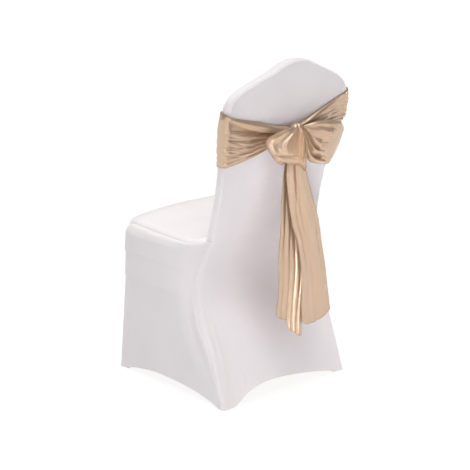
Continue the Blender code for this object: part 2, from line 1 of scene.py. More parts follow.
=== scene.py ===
"""The finished looks of a stretch chair cover and its satin sash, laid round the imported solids.

Heights are worked out above the floor, x grows to the sitter's left, and y grows to the rear, from
the line where the seat meets the backrest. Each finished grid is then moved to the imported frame,
whose origin lies under the crown of the backrest.
"""

import logging
import math
from collections.abc import Iterable, Sequence
from dataclasses import dataclass
from enum import Enum

import bmesh
import bpy
import numpy as np
from mathutils import Matrix, Vector, noise


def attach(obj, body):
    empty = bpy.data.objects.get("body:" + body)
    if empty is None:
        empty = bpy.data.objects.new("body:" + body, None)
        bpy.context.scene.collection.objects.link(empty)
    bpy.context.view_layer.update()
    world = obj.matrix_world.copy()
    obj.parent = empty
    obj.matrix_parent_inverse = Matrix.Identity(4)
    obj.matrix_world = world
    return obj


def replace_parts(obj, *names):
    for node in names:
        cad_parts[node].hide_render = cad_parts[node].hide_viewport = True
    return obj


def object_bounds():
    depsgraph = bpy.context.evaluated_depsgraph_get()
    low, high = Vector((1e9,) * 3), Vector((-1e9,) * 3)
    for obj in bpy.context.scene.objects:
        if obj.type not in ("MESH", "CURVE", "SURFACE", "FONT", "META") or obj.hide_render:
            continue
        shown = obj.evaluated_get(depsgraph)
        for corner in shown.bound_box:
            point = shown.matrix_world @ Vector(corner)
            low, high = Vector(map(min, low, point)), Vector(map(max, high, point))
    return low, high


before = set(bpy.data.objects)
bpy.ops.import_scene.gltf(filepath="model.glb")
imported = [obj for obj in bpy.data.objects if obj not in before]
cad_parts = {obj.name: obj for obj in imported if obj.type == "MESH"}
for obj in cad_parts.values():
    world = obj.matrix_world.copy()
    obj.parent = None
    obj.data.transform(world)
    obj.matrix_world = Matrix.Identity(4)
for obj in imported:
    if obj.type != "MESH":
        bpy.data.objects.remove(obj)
CAD_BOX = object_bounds()

Array = np.ndarray
Pair = tuple[float, float]
Triple = tuple[float, float, float]
Table = tuple[tuple[float, ...], ...]
Pleats = tuple[Table, ...]

log = logging.getLogger("chair_cover")

HALF_ROOT = math.sqrt(0.5)
BODY = "root"
UV_MAP = "cloth"


class Hand(Enum):
    """The sitter's left or right, as the sign of x."""

    LEFT = 1
    RIGHT = -1


class End(Enum):
    """The chair's rear or front feet, as the way in under the chair along y."""

    REAR = -1
    FRONT = 1


class Held(Enum):
    """How a sheet of cloth is held."""

    STRETCHED = "stretched"
    GATHERED = "gathered"
    HUNG = "hung"
    FOLDED = "folded"


# ---------------------------------------------------------------------------------------------
# Lines and grids of points


def blend(start: Array, end: Array, share: Array | float) -> Array:
    """The values that lie this share of the way from start to end."""
    return start * (1 - share) + end * share


def smooth_line(points: Array, steps: int = 24) -> Array:
    """A smooth curve through points.

    Args:
        points: one point to a row, of any number of columns.
        steps: how many pieces each stretch between two points is cut into.

    Returns:
        The curve's points, close together.
    """
    points = np.asarray(points, float)
    ends = np.vstack([2 * points[0] - points[1], points, 2 * points[-1] - points[-2]])
    before, start, end, after = ends[:-3], ends[1:-2], ends[2:-1], ends[3:]
    t = (np.arange(steps) / steps)[None, :, None]
    before, start, end, after = (part[:, None, :] for part in (before, start, end, after))
    curve = 0.5 * (
        2 * start
        + (end - before) * t
        + (2 * before - 5 * start + 4 * end - after) * t**2
        + (3 * start - before - 3 * end + after) * t**3
    )
    return np.vstack([curve.reshape(-1, points.shape[1]), points[-1]])


def travelled(line: Array) -> Array:
    """How far along a line each of its points lies."""
    steps = np.linalg.norm(np.diff(line, axis=0), axis=1)
    return np.concatenate([[0.0], np.cumsum(steps)])


def read_along(values: Array, lengths: Array, places: Array) -> Array:
    """Rows of values that lie these lengths along a line, read at other places along it."""
    return np.stack([np.interp(places, lengths, column) for column in values.T], axis=1)


def spaced(line: Array, fractions: Array) -> Array:
    """The points of a line at the given fractions of its length."""
    lengths = travelled(line)
    return read_along(line, lengths, fractions * lengths[-1])


def seam(rows: Table, fractions: Array) -> Array:
    """Points along a seam, from a table of its half width, back and height."""
    return spaced(smooth_line(np.array(rows)), fractions)


def mirrored(points: Array) -> Array:
    """The same points on the sitter's other hand."""
    return points * np.array([-1.0, 1.0, 1.0])


def column_of(rows: Table, key: Array, index: int) -> Array:
    """A table's column, read along a smooth curve through it.

    Args:
        rows: the table, whose first column is the key.
        key: where to read it.
        index: the column that is wanted.

    Returns:
        One value for each key.
    """
    table = np.array(rows)[:, (0, index)]
    if table[0, 0] > table[-1, 0]:
        table = table[::-1]
    curve = smooth_line(table)
    return np.interp(key, curve[:, 0], curve[:, 1])


def spread(length: float, step: float, fine: float, ends: tuple[bool, bool]) -> Array:
    """Fractions along a length, closer together at the ends that need it.

    Args:
        length: the length, in metres.
        step: the widest spacing.
        fine: the spacing at a fine end.
        ends: whether the start and the end are fine.

    Returns:
        Fractions from 0 to 1.
    """
    samples, widening = 4000, 0.22
    place = np.linspace(0, length, samples)
    near = np.full_like(place, length)
    if ends[0]:
        near = np.minimum(near, place)
    if ends[1]:
        near = np.minimum(near, length - place)
    density = 1 / np.minimum(step, fine + widening * near)
    count = np.concatenate([[0.0], np.cumsum((density[1:] + density[:-1]) / 2 * np.diff(place))])
    pieces = max(2, round(count[-1]))
    return np.interp(np.linspace(0, count[-1], pieces + 1), count, place) / length


def unit(vectors: Array) -> Array:
    """Vectors of length one."""
    return vectors / np.maximum(np.linalg.norm(vectors, axis=-1, keepdims=True), 1e-12)


def normals_of(grid: Array) -> Array:
    """The way out of a grid at each of its points."""
    return unit(np.cross(np.gradient(grid, axis=1), np.gradient(grid, axis=0)))


def soften(values: Array, reach: float) -> Array:
    """Values along the first axis, smoothed over neighbouring rows, with both ends kept.

    Args:
        values: one row to a place.
        reach: over about how many rows.

    Returns:
        The smoothed values.
    """
    size = int(3 * reach) + 1
    weights = np.exp(-0.5 * (np.arange(-size, size + 1) / reach) ** 2)
    weights /= weights.sum()
    ahead = 2 * values[:1] - values[size:0:-1]
    behind = 2 * values[-1:] - values[-2 : -size - 2 : -1]
    padded = np.concatenate([ahead, values, behind])
    flat = padded.reshape(len(padded), -1)
    done = [np.convolve(flat[:, k], weights, mode="valid") for k in range(flat.shape[1])]
    return np.stack(done, axis=1).reshape(values.shape)


def arch(across: Array, slope: float = 4.0) -> Array:
    """A parabola: 0 at both sides, rising there at this slope, and cut off where it passes 1."""
    return np.clip(slope * across * (1 - across), 0, 1)


def bell(across: Array) -> Array:
    """A broad hump: 0 at both sides and 1 in the middle."""
    return np.sqrt(arch(across))


def hump(values: Array, centre: float, width: float) -> Array:
    """A narrow hump: 1 at its centre, and nothing at about twice its width away."""
    return np.exp(-(((values - centre) / width) ** 2))


def past(values: Array, edge: float, width: float) -> Array:
    """A smooth step: 0 well below its edge, and 1 well above it."""
    far = 60
    return 1 / (1 + np.exp(np.clip((edge - values) / width, -far, far)))


def rough_field(points: Array, size: float, seed: float) -> Array:
    """Smooth, uneven values from about -1 to 1, that follow where the points lie.

    Args:
        points: a grid of points.
        size: how wide one hump is, in metres.
        seed: which pattern to take.

    Returns:
        One value for each point.
    """
    shift = Vector((seed, seed * 1.7, seed * 0.6))
    flat = points.reshape(-1, 3) / size
    values = [noise.noise(Vector(point) + shift) for point in flat]
    return np.array(values).reshape(points.shape[:-1])


@dataclass(frozen=True)
class Wrinkle:
    """A ridge, or with a negative height a furrow, along a line on the cover.

    width is half its breadth, and path holds points on the cover. The lower taper is, the more
    squarely its ends start.
    """

    height: float
    width: float
    path: Table
    taper: float = 0.7

    def rise(self, grid: Array) -> Array:
        """How far it lifts each point of a grid.

        Args:
            grid: a panel's points.

        Returns:
            One height for each point, in metres.
        """
        line = smooth_line(np.array(self.path), 8)
        lengths = travelled(line)
        near = np.full(grid.shape[:-1], np.inf)
        place = np.zeros(grid.shape[:-1])
        for start, end, so_far in zip(line, line[1:], lengths):
            way = end - start
            run = np.linalg.norm(way)
            share = np.clip((grid - start) @ way / run**2, 0, 1)
            distance = np.linalg.norm(grid - start - share[..., None] * way, axis=-1)
            closer = distance < near
            near = np.where(closer, distance, near)
            place = np.where(closer, (so_far + share * run) / lengths[-1], place)
        ends = np.sin(math.pi * np.clip(place, 0, 1)) ** self.taper
        return self.height * ends * hump(near, 0, self.width)


def fold_line(rows: Table, along: Array) -> tuple[Array, Array]:
    """Where a fold of a strip runs, and how high it stands.

    Args:
        rows: how far along the strip each point is, how far across it from 0 to 1, and how high
            the fold stands there in millimetres: a ridge above its neighbours, a valley below.
        along: where to read it.

    Returns:
        Its places across the strip, and its heights in metres.
    """
    curve = smooth_line(np.array(rows), 12)
    place, height = (np.interp(along, curve[:, 0], curve[:, column]) for column in (1, 2))
    return place, height / 1000


def pleated(pleats: Pleats, along: Array, across: Array) -> Array:
    """The relief of a pleated strip, with round ridges and sharp valleys.

    Args:
        pleats: its fold lines.
        along: places along the strip, one to a row, as its fold lines give them.
        across: fractions across it, one to a column.

    Returns:
        Heights, in metres.
    """
    tiny, margin = 1e-6, 1e-4
    lines = [fold_line(rows, along) for rows in pleats]
    places = np.stack([place for place, _ in lines], axis=1)
    heights = np.stack([height for _, height in lines], axis=1)
    relief = np.zeros((len(along), len(across)))
    for row in range(len(along)):
        order = np.argsort(places[row])
        inner = np.clip(places[row][order], margin, 1 - margin)
        place = np.concatenate([[-tiny], inner, [1 + tiny]])
        height = np.concatenate([[0.0], heights[row][order], [0.0]])
        index = np.clip(np.searchsorted(place, across) - 1, 0, len(place) - 2)
        gap = np.maximum(place[index + 1] - place[index], tiny)
        share = np.clip((across - place[index]) / gap, 0, 1) * math.pi / 2
        climb = height[index + 1] - height[index]
        eased = np.where(climb > 0, np.sin(share), 1 - np.cos(share))
        relief[row] = height[index] + climb * eased
    return relief


def ripples(along: Array, across: Array, length: float, pitch: float, seed: float) -> Array:
    """Fine sharp creases that run along a strip, from -1 to 1.

    Args:
        along: places along the strip, one to a row.
        across: places across it, one to a column.
        length: how long one crease is, in the unit of along.
        pitch: how far apart they are, in the unit of across.
        seed: which pattern to take.

    Returns:
        One value for each point.
    """
    finer, mix, sharpness = 1.9, 0.35, 3.2
    places = np.zeros((len(along), len(across), 3))
    places[..., 0] = (along / length)[:, None]
    places[..., 1] = (across / pitch)[None]
    broad = rough_field(places, 1.0, seed)
    places[..., :2] *= finer
    fine = rough_field(places, 1.0, seed + 7)
    return np.clip(1 - sharpness * np.abs(broad + mix * fine), -1, 1)


def patch(along: Array, across: Array, centre: Pair, size: Pair) -> Array:
    """A soft spot on a strip: 1 at its centre, and nothing at about twice its size away."""
    return hump(along[:, None], centre[0], size[0]) * hump(across[None], centre[1], size[1])


# ---------------------------------------------------------------------------------------------
# Finishes


class Shader:
    """A material's node tree, with a few short ways to add to it."""

    def __init__(self, name: str) -> None:
        """Starts a material with a Principled shader.

        Args:
            name: the material's name.
        """
        self.material = bpy.data.materials.new(name)
        self.material.use_nodes = True
        self.tree = self.material.node_tree
        self.surface = self.tree.nodes["Principled BSDF"]

    def add(self, kind: str, **settings: object) -> bpy.types.Node:
        """A new node.

        Args:
            kind: the node's type.
            settings: its properties.

        Returns:
            The node.
        """
        node = self.tree.nodes.new(kind)
        for name, value in settings.items():
            setattr(node, name, value)
        return node

    def join(self, source: bpy.types.NodeSocket, target: bpy.types.NodeSocket) -> None:
        """Links two sockets."""
        self.tree.links.new(source, target)

    def math(self, operation: str, *values: object) -> bpy.types.NodeSocket:
        """A sum of sockets and numbers.

        Args:
            operation: the Math node's operation.
            values: its inputs, each a number or another node's output.

        Returns:
            The result's socket.
        """
        node = self.add("ShaderNodeMath", operation=operation)
        for socket, value in zip(node.inputs, values):
            if isinstance(value, (int, float)):
                socket.default_value = value
            else:
                self.join(value, socket)
        return node.outputs[0]

    def mapped(self, output: str, scale: Triple) -> bpy.types.NodeSocket:
        """The object's or the cloth's own coordinates, scaled.

        Args:
            output: the Texture Coordinate node's output.
            scale: by how much each axis is multiplied.

        Returns:
            The scaled coordinates' socket.
        """
        place = self.add("ShaderNodeTexCoord")
        mapping = self.add("ShaderNodeMapping")
        mapping.inputs["Scale"].default_value = scale
        self.join(place.outputs[output], mapping.inputs["Vector"])
        return mapping.outputs["Vector"]

    def noise(self, vector: bpy.types.NodeSocket, detail: float) -> bpy.types.NodeSocket:
        """Uneven values from a Noise texture.

        Args:
            vector: the coordinates that it follows.
            detail: how many finer layers it has.

        Returns:
            The values' socket.
        """
        node = self.add("ShaderNodeTexNoise")
        node.inputs["Scale"].default_value = 1.0
        node.inputs["Detail"].default_value = detail
        self.join(vector, node.inputs["Vector"])
        return node.outputs["Fac"]

    def tint(
        self,
        factor: bpy.types.NodeSocket,
        low: Triple,
        high: Triple,
        edges: Pair,
    ) -> None:
        """Colours the surface from one colour to another, as a factor rises.

        Args:
            factor: the factor's socket.
            low: the colour below the first edge.
            high: the colour above the second edge.
            edges: the two values between which it changes.
        """
        ramp = self.add("ShaderNodeValToRGB")
        for element, place, colour in zip(ramp.color_ramp.elements, edges, (low, high)):
            element.position = place
            element.color = (*colour, 1.0)
        self.join(factor, ramp.inputs["Fac"])
        self.join(ramp.outputs["Color"], self.surface.inputs["Base Color"])

    def bump(self, height: bpy.types.NodeSocket, strength: float, distance: float) -> None:
        """Gives the surface a fine relief.

        Args:
            height: the relief's socket.
            strength: how much of it shows, from 0 to 1.
            distance: its depth, in metres.
        """
        node = self.add("ShaderNodeBump")
        node.inputs["Strength"].default_value = strength
        node.inputs["Distance"].default_value = distance
        self.join(height, node.inputs["Height"])
        self.join(node.outputs["Normal"], self.surface.inputs["Normal"])

    def set(self, **values: object) -> None:
        """Sets the shader's own sockets. An underscore stands for a space."""
        for name, value in values.items():
            self.surface.inputs[name.replace("_", " ")].default_value = value


@dataclass(frozen=True)
class Knit:
    """White stretch knit: fine upright ribs of stitches, with a soft, dry sheen."""

    white: Triple = (0.80, 0.765, 0.785)
    shade: Triple = (0.77, 0.735, 0.755)
    rib: float = 0.0009
    course: float = 0.0007
    slant: float = 2.4
    stitch_height: float = 0.35
    slot: str = "white_stretch"

    def material(self, name: str) -> bpy.types.Material:
        """The finished material.

        Args:
            name: the material's name.

        Returns:
            The material.
        """
        shader = Shader(name)
        cloth = self._stitches(shader)
        patches = shader.noise(shader.mapped("Object", (7.0, 7.0, 5.0)), 4.0)
        shader.tint(patches, self.shade, self.white, (0.35, 0.62))
        shader.bump(cloth, 0.35, 0.00018)
        shader.set(Roughness=0.62, Sheen_Weight=0.35, Sheen_Roughness=0.45)
        shader.set(Specular_IOR_Level=0.35, IOR=1.46)
        return shader.material

    def _stitches(self, shader: Shader) -> bpy.types.NodeSocket:
        """The height of the knit: ribs, each a column of slanting stitches.

        Args:
            shader: the material's shader.

        Returns:
            The height's socket.
        """
        parts = shader.add("ShaderNodeSeparateXYZ")
        scale = (math.pi / self.rib, 2 * math.pi / self.course, 1.0)
        shader.join(shader.mapped("UV", scale), parts.inputs["Vector"])
        rib = shader.math("ABSOLUTE", shader.math("SINE", parts.outputs["X"]))
        slanting = shader.math("MULTIPLY", rib, self.slant)
        stitch = shader.math("SINE", shader.math("ADD", parts.outputs["Y"], slanting))
        return shader.math("MULTIPLY_ADD", stitch, self.stitch_height, rib)


@dataclass(frozen=True)
class Satin:
    """Champagne satin: smooth and bright, with long fine threads and a few slubs."""

    light: Triple = (0.62, 0.440, 0.298)
    deep: Triple = (0.565, 0.39, 0.255)
    thread: float = 0.0004
    slot: str = "champagne_satin"

    def material(self, name: str) -> bpy.types.Material:
        """The finished material.

        Args:
            name: the material's name.

        Returns:
            The material.
        """
        shader = Shader(name)
        slubs = shader.noise(shader.mapped("UV", (260.0, 18.0, 1.0)), 4.0)
        parts = shader.add("ShaderNodeSeparateXYZ")
        shader.join(shader.mapped("UV", (2 * math.pi / self.thread,) * 3), parts.inputs["Vector"])
        threads = shader.math("SINE", parts.outputs["X"])
        shader.tint(slubs, self.deep, self.light, (0.20, 0.80))
        shader.bump(shader.math("MULTIPLY_ADD", threads, 0.25, slubs), 0.12, 0.0001)
        grain = shader.add("ShaderNodeTangent", direction_type="UV_MAP", uv_map=UV_MAP)
        shader.join(grain.outputs["Tangent"], shader.surface.inputs["Tangent"])
        shader.set(Metallic=0.50, Roughness=0.23, Specular_IOR_Level=0.9)
        shader.set(Anisotropic=0.85, Anisotropic_Rotation=0.25)
        shader.set(Coat_Weight=0.6, Coat_Roughness=0.26, Coat_IOR=1.7)
        shader.set(Sheen_Weight=0.15, Sheen_Roughness=0.3, Sheen_Tint=(1.0, 0.90, 0.78, 1.0))
        return shader.material


@dataclass(frozen=True)
class Thread:
    """Sewing thread, wound from fine strands."""

    colour: Triple
    shade: Triple
    slot: str
    twist: float = 900.0

    def material(self, name: str) -> bpy.types.Material:
        """The finished material.

        Args:
            name: the material's name.

        Returns:
            The material.
        """
        shader = Shader(name)
        strands = shader.noise(shader.mapped("Object", (self.twist,) * 3), 2.0)
        shader.tint(strands, self.shade, self.colour, (0.35, 0.65))
        shader.bump(strands, 0.4, 0.0002)
        shader.set(Roughness=0.55, Sheen_Weight=0.2)
        return shader.material


@dataclass(frozen=True)
class Paper:
    """The studio's plain pale floor, which glows."""

    colour: Triple = (0.12, 0.12, 0.12)
    darkest: float = 0.985
    glow: Triple = (1.0, 0.99, 0.985)
    glow_strength: float = 0.88

    def material(self, name: str) -> bpy.types.Material:
        """The finished material.

        Args:
            name: the material's name.

        Returns:
            The material.
        """
        shader = Shader(name)
        grain = shader.noise(shader.mapped("Object", (3.0,) * 3), 3.0)
        pale = tuple(self.darkest * part for part in self.colour)
        shader.tint(grain, pale, self.colour, (0.4, 0.6))
        shader.set(Roughness=0.9, Emission_Strength=self.glow_strength)
        shader.set(Emission_Color=(*self.glow, 1.0))
        return shader.material


# ---------------------------------------------------------------------------------------------
# Pieces


def to_frame(points: Array) -> Array:
    """Points above the floor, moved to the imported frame."""
    return points + np.array([0.0, -CoverShape.crown_middle, CAD_BOX[0].z])


def dress(piece: bpy.types.Object, finish: Knit | Satin | Thread) -> bpy.types.Object:
    """Gives a piece its material and its body.

    Args:
        piece: the object, not yet in the scene.
        finish: what it is made of.

    Returns:
        The same object.
    """
    piece.data.materials.append(finish.material(f"{piece.name}_finish"))
    bpy.context.scene.collection.objects.link(piece)
    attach(piece, BODY)
    log.info("%s: %d faces", piece.name, len(getattr(piece.data, "polygons", ())))
    return piece


@dataclass
class Cloth:
    """One stretch of cloth, laid through a grid of points, with a UV map in metres.

    flat is the size it was cut to, and area its flat area where the cut isn't a rectangle.
    """

    name: str
    grid: Array
    finish: Knit | Satin
    flat: Pair
    held: Held
    nodes: tuple[str, ...] = ()
    area: float | None = None
    thickness: float = 0.0012
    offset: float = -1.0
    rests_on: tuple[str, ...] = ()
    across: Array | None = None

    def build(self, with_pieces: Sequence[bpy.types.Object] = ()) -> bpy.types.Object:
        """Args:
            with_pieces: what is sewn on it; not used.

        Returns:
            The finished object.
        """
        piece = bpy.data.objects.new(self.name, self._mesh())
        wall = piece.modifiers.new("Cloth", "SOLIDIFY")
        wall.thickness = self.thickness
        wall.offset = self.offset
        wall.use_quality_normals = True
        dress(piece, self.finish)
        if self.nodes:
            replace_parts(piece, *self.nodes)
        return piece

    def _mesh(self) -> bpy.types.Mesh:
        """The grid's mesh, smooth, with its UV map.

        Returns:
            The mesh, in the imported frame.
        """
        rows, columns = self.grid.shape[0] - 1, self.grid.shape[1] - 1
        sheet = bmesh.new()
        sheet.loops.layers.uv.new(UV_MAP)
        bmesh.ops.create_grid(
            sheet, x_segments=columns, y_segments=rows, size=0.5, calc_uvs=True
        )
        mesh = bpy.data.meshes.new(self.name)
        sheet.to_mesh(mesh)
        sheet.free()
        laid = np.empty(len(mesh.vertices) * 3, np.float32)
        mesh.vertices.foreach_get("co", laid)
        laid = laid.reshape(-1, 3)
        column = np.rint((laid[:, 0] + 0.5) * columns).astype(int)
        row = np.rint((laid[:, 1] + 0.5) * rows).astype(int)
        points = to_frame(self.grid[row, column])
        mesh.vertices.foreach_set("co", points.astype(np.float32).ravel())

        middle = self.grid[:, columns // 2]
        along = travelled(middle)
        across = np.linspace(0, 1, columns + 1) if self.across is None else self.across
        corners = np.empty(len(mesh.loops), np.int32)
        mesh.loops.foreach_get("vertex_index", corners)
        flat = np.stack([across[column] * self.flat[0], along[row]], axis=1)[corners]
        mesh.uv_layers[UV_MAP].data.foreach_set("uv", flat.astype(np.float32).ravel())
        mesh.update()
        mesh.shade_smooth()
        return mesh


def rolled_hem(name: str, path: Array, radius: float, finish: Thread) -> bpy.types.Object:
    """A narrow rolled and stitched edge, as a thin round bead.

    Args:
        name: the piece's name.
        path: the points that it follows, above the floor.
        radius: the bead's radius.
        finish: its thread.

    Returns:
        The finished object.
    """
    curve = bpy.data.curves.new(name, "CURVE")
    curve.dimensions = "3D"
    curve.bevel_depth = radius
    curve.bevel_resolution = 1
    curve.use_fill_caps = True
    spline = curve.splines.new("POLY")
    points = to_frame(path)
    spline.points.add(len(points) - 1)
    spline.points.foreach_set("co", np.column_stack([points, np.ones(len(points))]).ravel())
    spline.use_smooth = True
    return dress(bpy.data.objects.new(name, curve), finish)


def stitches(name: str, line: Array, normals: Array, finish: Thread) -> bpy.types.Object:
    """A row of short stitches along a line on the cloth.

    Args:
        name: the piece's name.
        line: the line's points, above the floor.
        normals: the way out of the cloth at each of them.
        finish: the thread.

    Returns:
        The finished object.
    """
    pitch, ahead, length, radius, sunk = 0.0042, 0.001, 0.0014, 0.00042, 0.0002
    lengths = travelled(line)
    places = np.arange(pitch / 2, lengths[-1], pitch)
    middle = read_along(line, lengths, places)
    along = unit(read_along(line, lengths, places + ahead) - middle)
    outward = read_along(normals, lengths, places)
    outward = unit(outward - along * (outward * along).sum(axis=1, keepdims=True))
    centres = to_frame(middle - outward * sunk)
    row = bmesh.new()
    for centre, way, out in zip(centres, along, outward):
        across = Vector(way).cross(Vector(out))
        turned = Matrix((way * length, across * radius, out * radius)).transposed().to_4x4()
        place = Matrix.Translation(Vector(centre)) @ turned
        bmesh.ops.create_uvsphere(row, u_segments=6, v_segments=4, radius=1.0, matrix=place)
    bmesh.ops.recalc_face_normals(row, faces=row.faces)
    mesh = bpy.data.meshes.new(name)
    row.to_mesh(mesh)
    row.free()
    mesh.shade_smooth()
    return dress(bpy.data.objects.new(name, mesh), finish)


# ---------------------------------------------------------------------------------------------
# The cover


def foot_wrinkles(hand: Hand, rows: Table) -> tuple[Wrinkle, ...]:
    """Short wrinkles near a foot.

    Args:
        hand: which of the two feet.
        rows: the x, y and z of each wrinkle's two ends on the left, its height and its width.

    Returns:
        The wrinkles, each a little raised in its middle.
    """
    arched = (0.0, 0.0, 0.004)
    made = []
    for *ends, height, width in rows:
        start, end = np.array(ends).reshape(2, 3) * (hand.value, 1, 1)
        middle = (start + end) / 2 + arched
        made.append(Wrinkle(height, width, (tuple(start), tuple(middle), tuple(end))))
    return tuple(made)


@dataclass(frozen=True)
class CoverShape:
    """The cover's driving sizes and seams, in metres.

    A seam's rows hold its half width, how far back it lies, and its height. A hem's rows hold how
    far across it they lie, from the left or the rear foot, and its height. A ledge is where the
    cushion or the seat's rail shows on the skirt's sides. Its row holds its height, how softly it
    starts, and how far the cloth stands out above it. The ledges' ends hold a place and a softness.
    """

    slab_depth: float = 0.023
    crown_middle: float = 0.168 - slab_depth / 2
    seat_swell: float = 0.018
    back_swell: float = 0.010
    hem_pull: float = 0.003
    edge_radius: float = 0.012
    slab_radius: float = 0.009
    seat_radius: float = 0.018
    corner_radius: float = 0.035
    crease_radius: float = 0.030
    join_radius: float = 0.050
    waist: Pair = (0.40, 0.50)
    ledges: Table = ((0.359, 0.0020, 0.0042), (0.286, 0.0025, 0.0050))
    ledge_rear: Pair = (0.060, 0.012)
    ledge_front: Pair = (-0.325, 0.008)
    seat_edge: float = 0.436
    seat_fade: float = 0.020
    rear_leg: Table = (
        (0.22, 0.103, 0.0), (0.222, 0.07, 0.09), (0.221, 0.035, 0.185), (0.217, 0.004, 0.265),
        (0.209, -0.009, 0.325), (0.198, -0.003, 0.375), (0.19, 0.012, 0.415), (0.1885, 0.03, 0.45),
    )
    backrest: Table = (
        (0.1885, 0.03, 0.45), (0.184, 0.057, 0.55), (0.186, 0.073, 0.605), (0.193, 0.092, 0.665),
        (0.203, 0.108, 0.725), (0.21, 0.126, 0.785), (0.205, 0.1355, 0.82),
    )
    crown: Table = (
        (0.205, 0.1355, 0.82), (0.192, 0.1368, 0.845), (0.167, 0.1399, 0.865),
        (0.125, 0.1493, 0.885), (0.079, 0.161, 0.905), (0.034, 0.166, 0.925), (0.0, 0.168, 0.9315),
    )
    front_leg: Table = (
        (0.2278, -0.3552, 0.0), (0.2225, -0.3455, 0.11), (0.218, -0.336, 0.21),
        (0.213, -0.3265, 0.31), (0.2075, -0.3175, 0.4), (0.2065, -0.312, 0.434),
    )
    seat_side: Table = (
        (0.2065, -0.312, 0.434), (0.2115, -0.285, 0.442), (0.215, -0.245, 0.442),
        (0.2155, -0.16, 0.439), (0.213, -0.045, 0.439), (0.203, -0.012, 0.444),
        (0.1885, 0.007, 0.45),
    )
    rear_hem: Table = (
        (0.0, 0.0), (0.068, 0.0), (0.1, 0.004), (0.14, 0.015), (0.22, 0.033), (0.39, 0.043),
        (0.64, 0.031), (0.82, 0.016), (0.95, 0.001), (1.0, 0.0),
    )
    side_hem: Table = (
        (0.0, 0.0), (0.04, 0.0), (0.12, 0.011), (0.31, 0.024), (0.6, 0.028), (0.81, 0.018),
        (0.93, 0.004), (1.0, 0.0),
    )


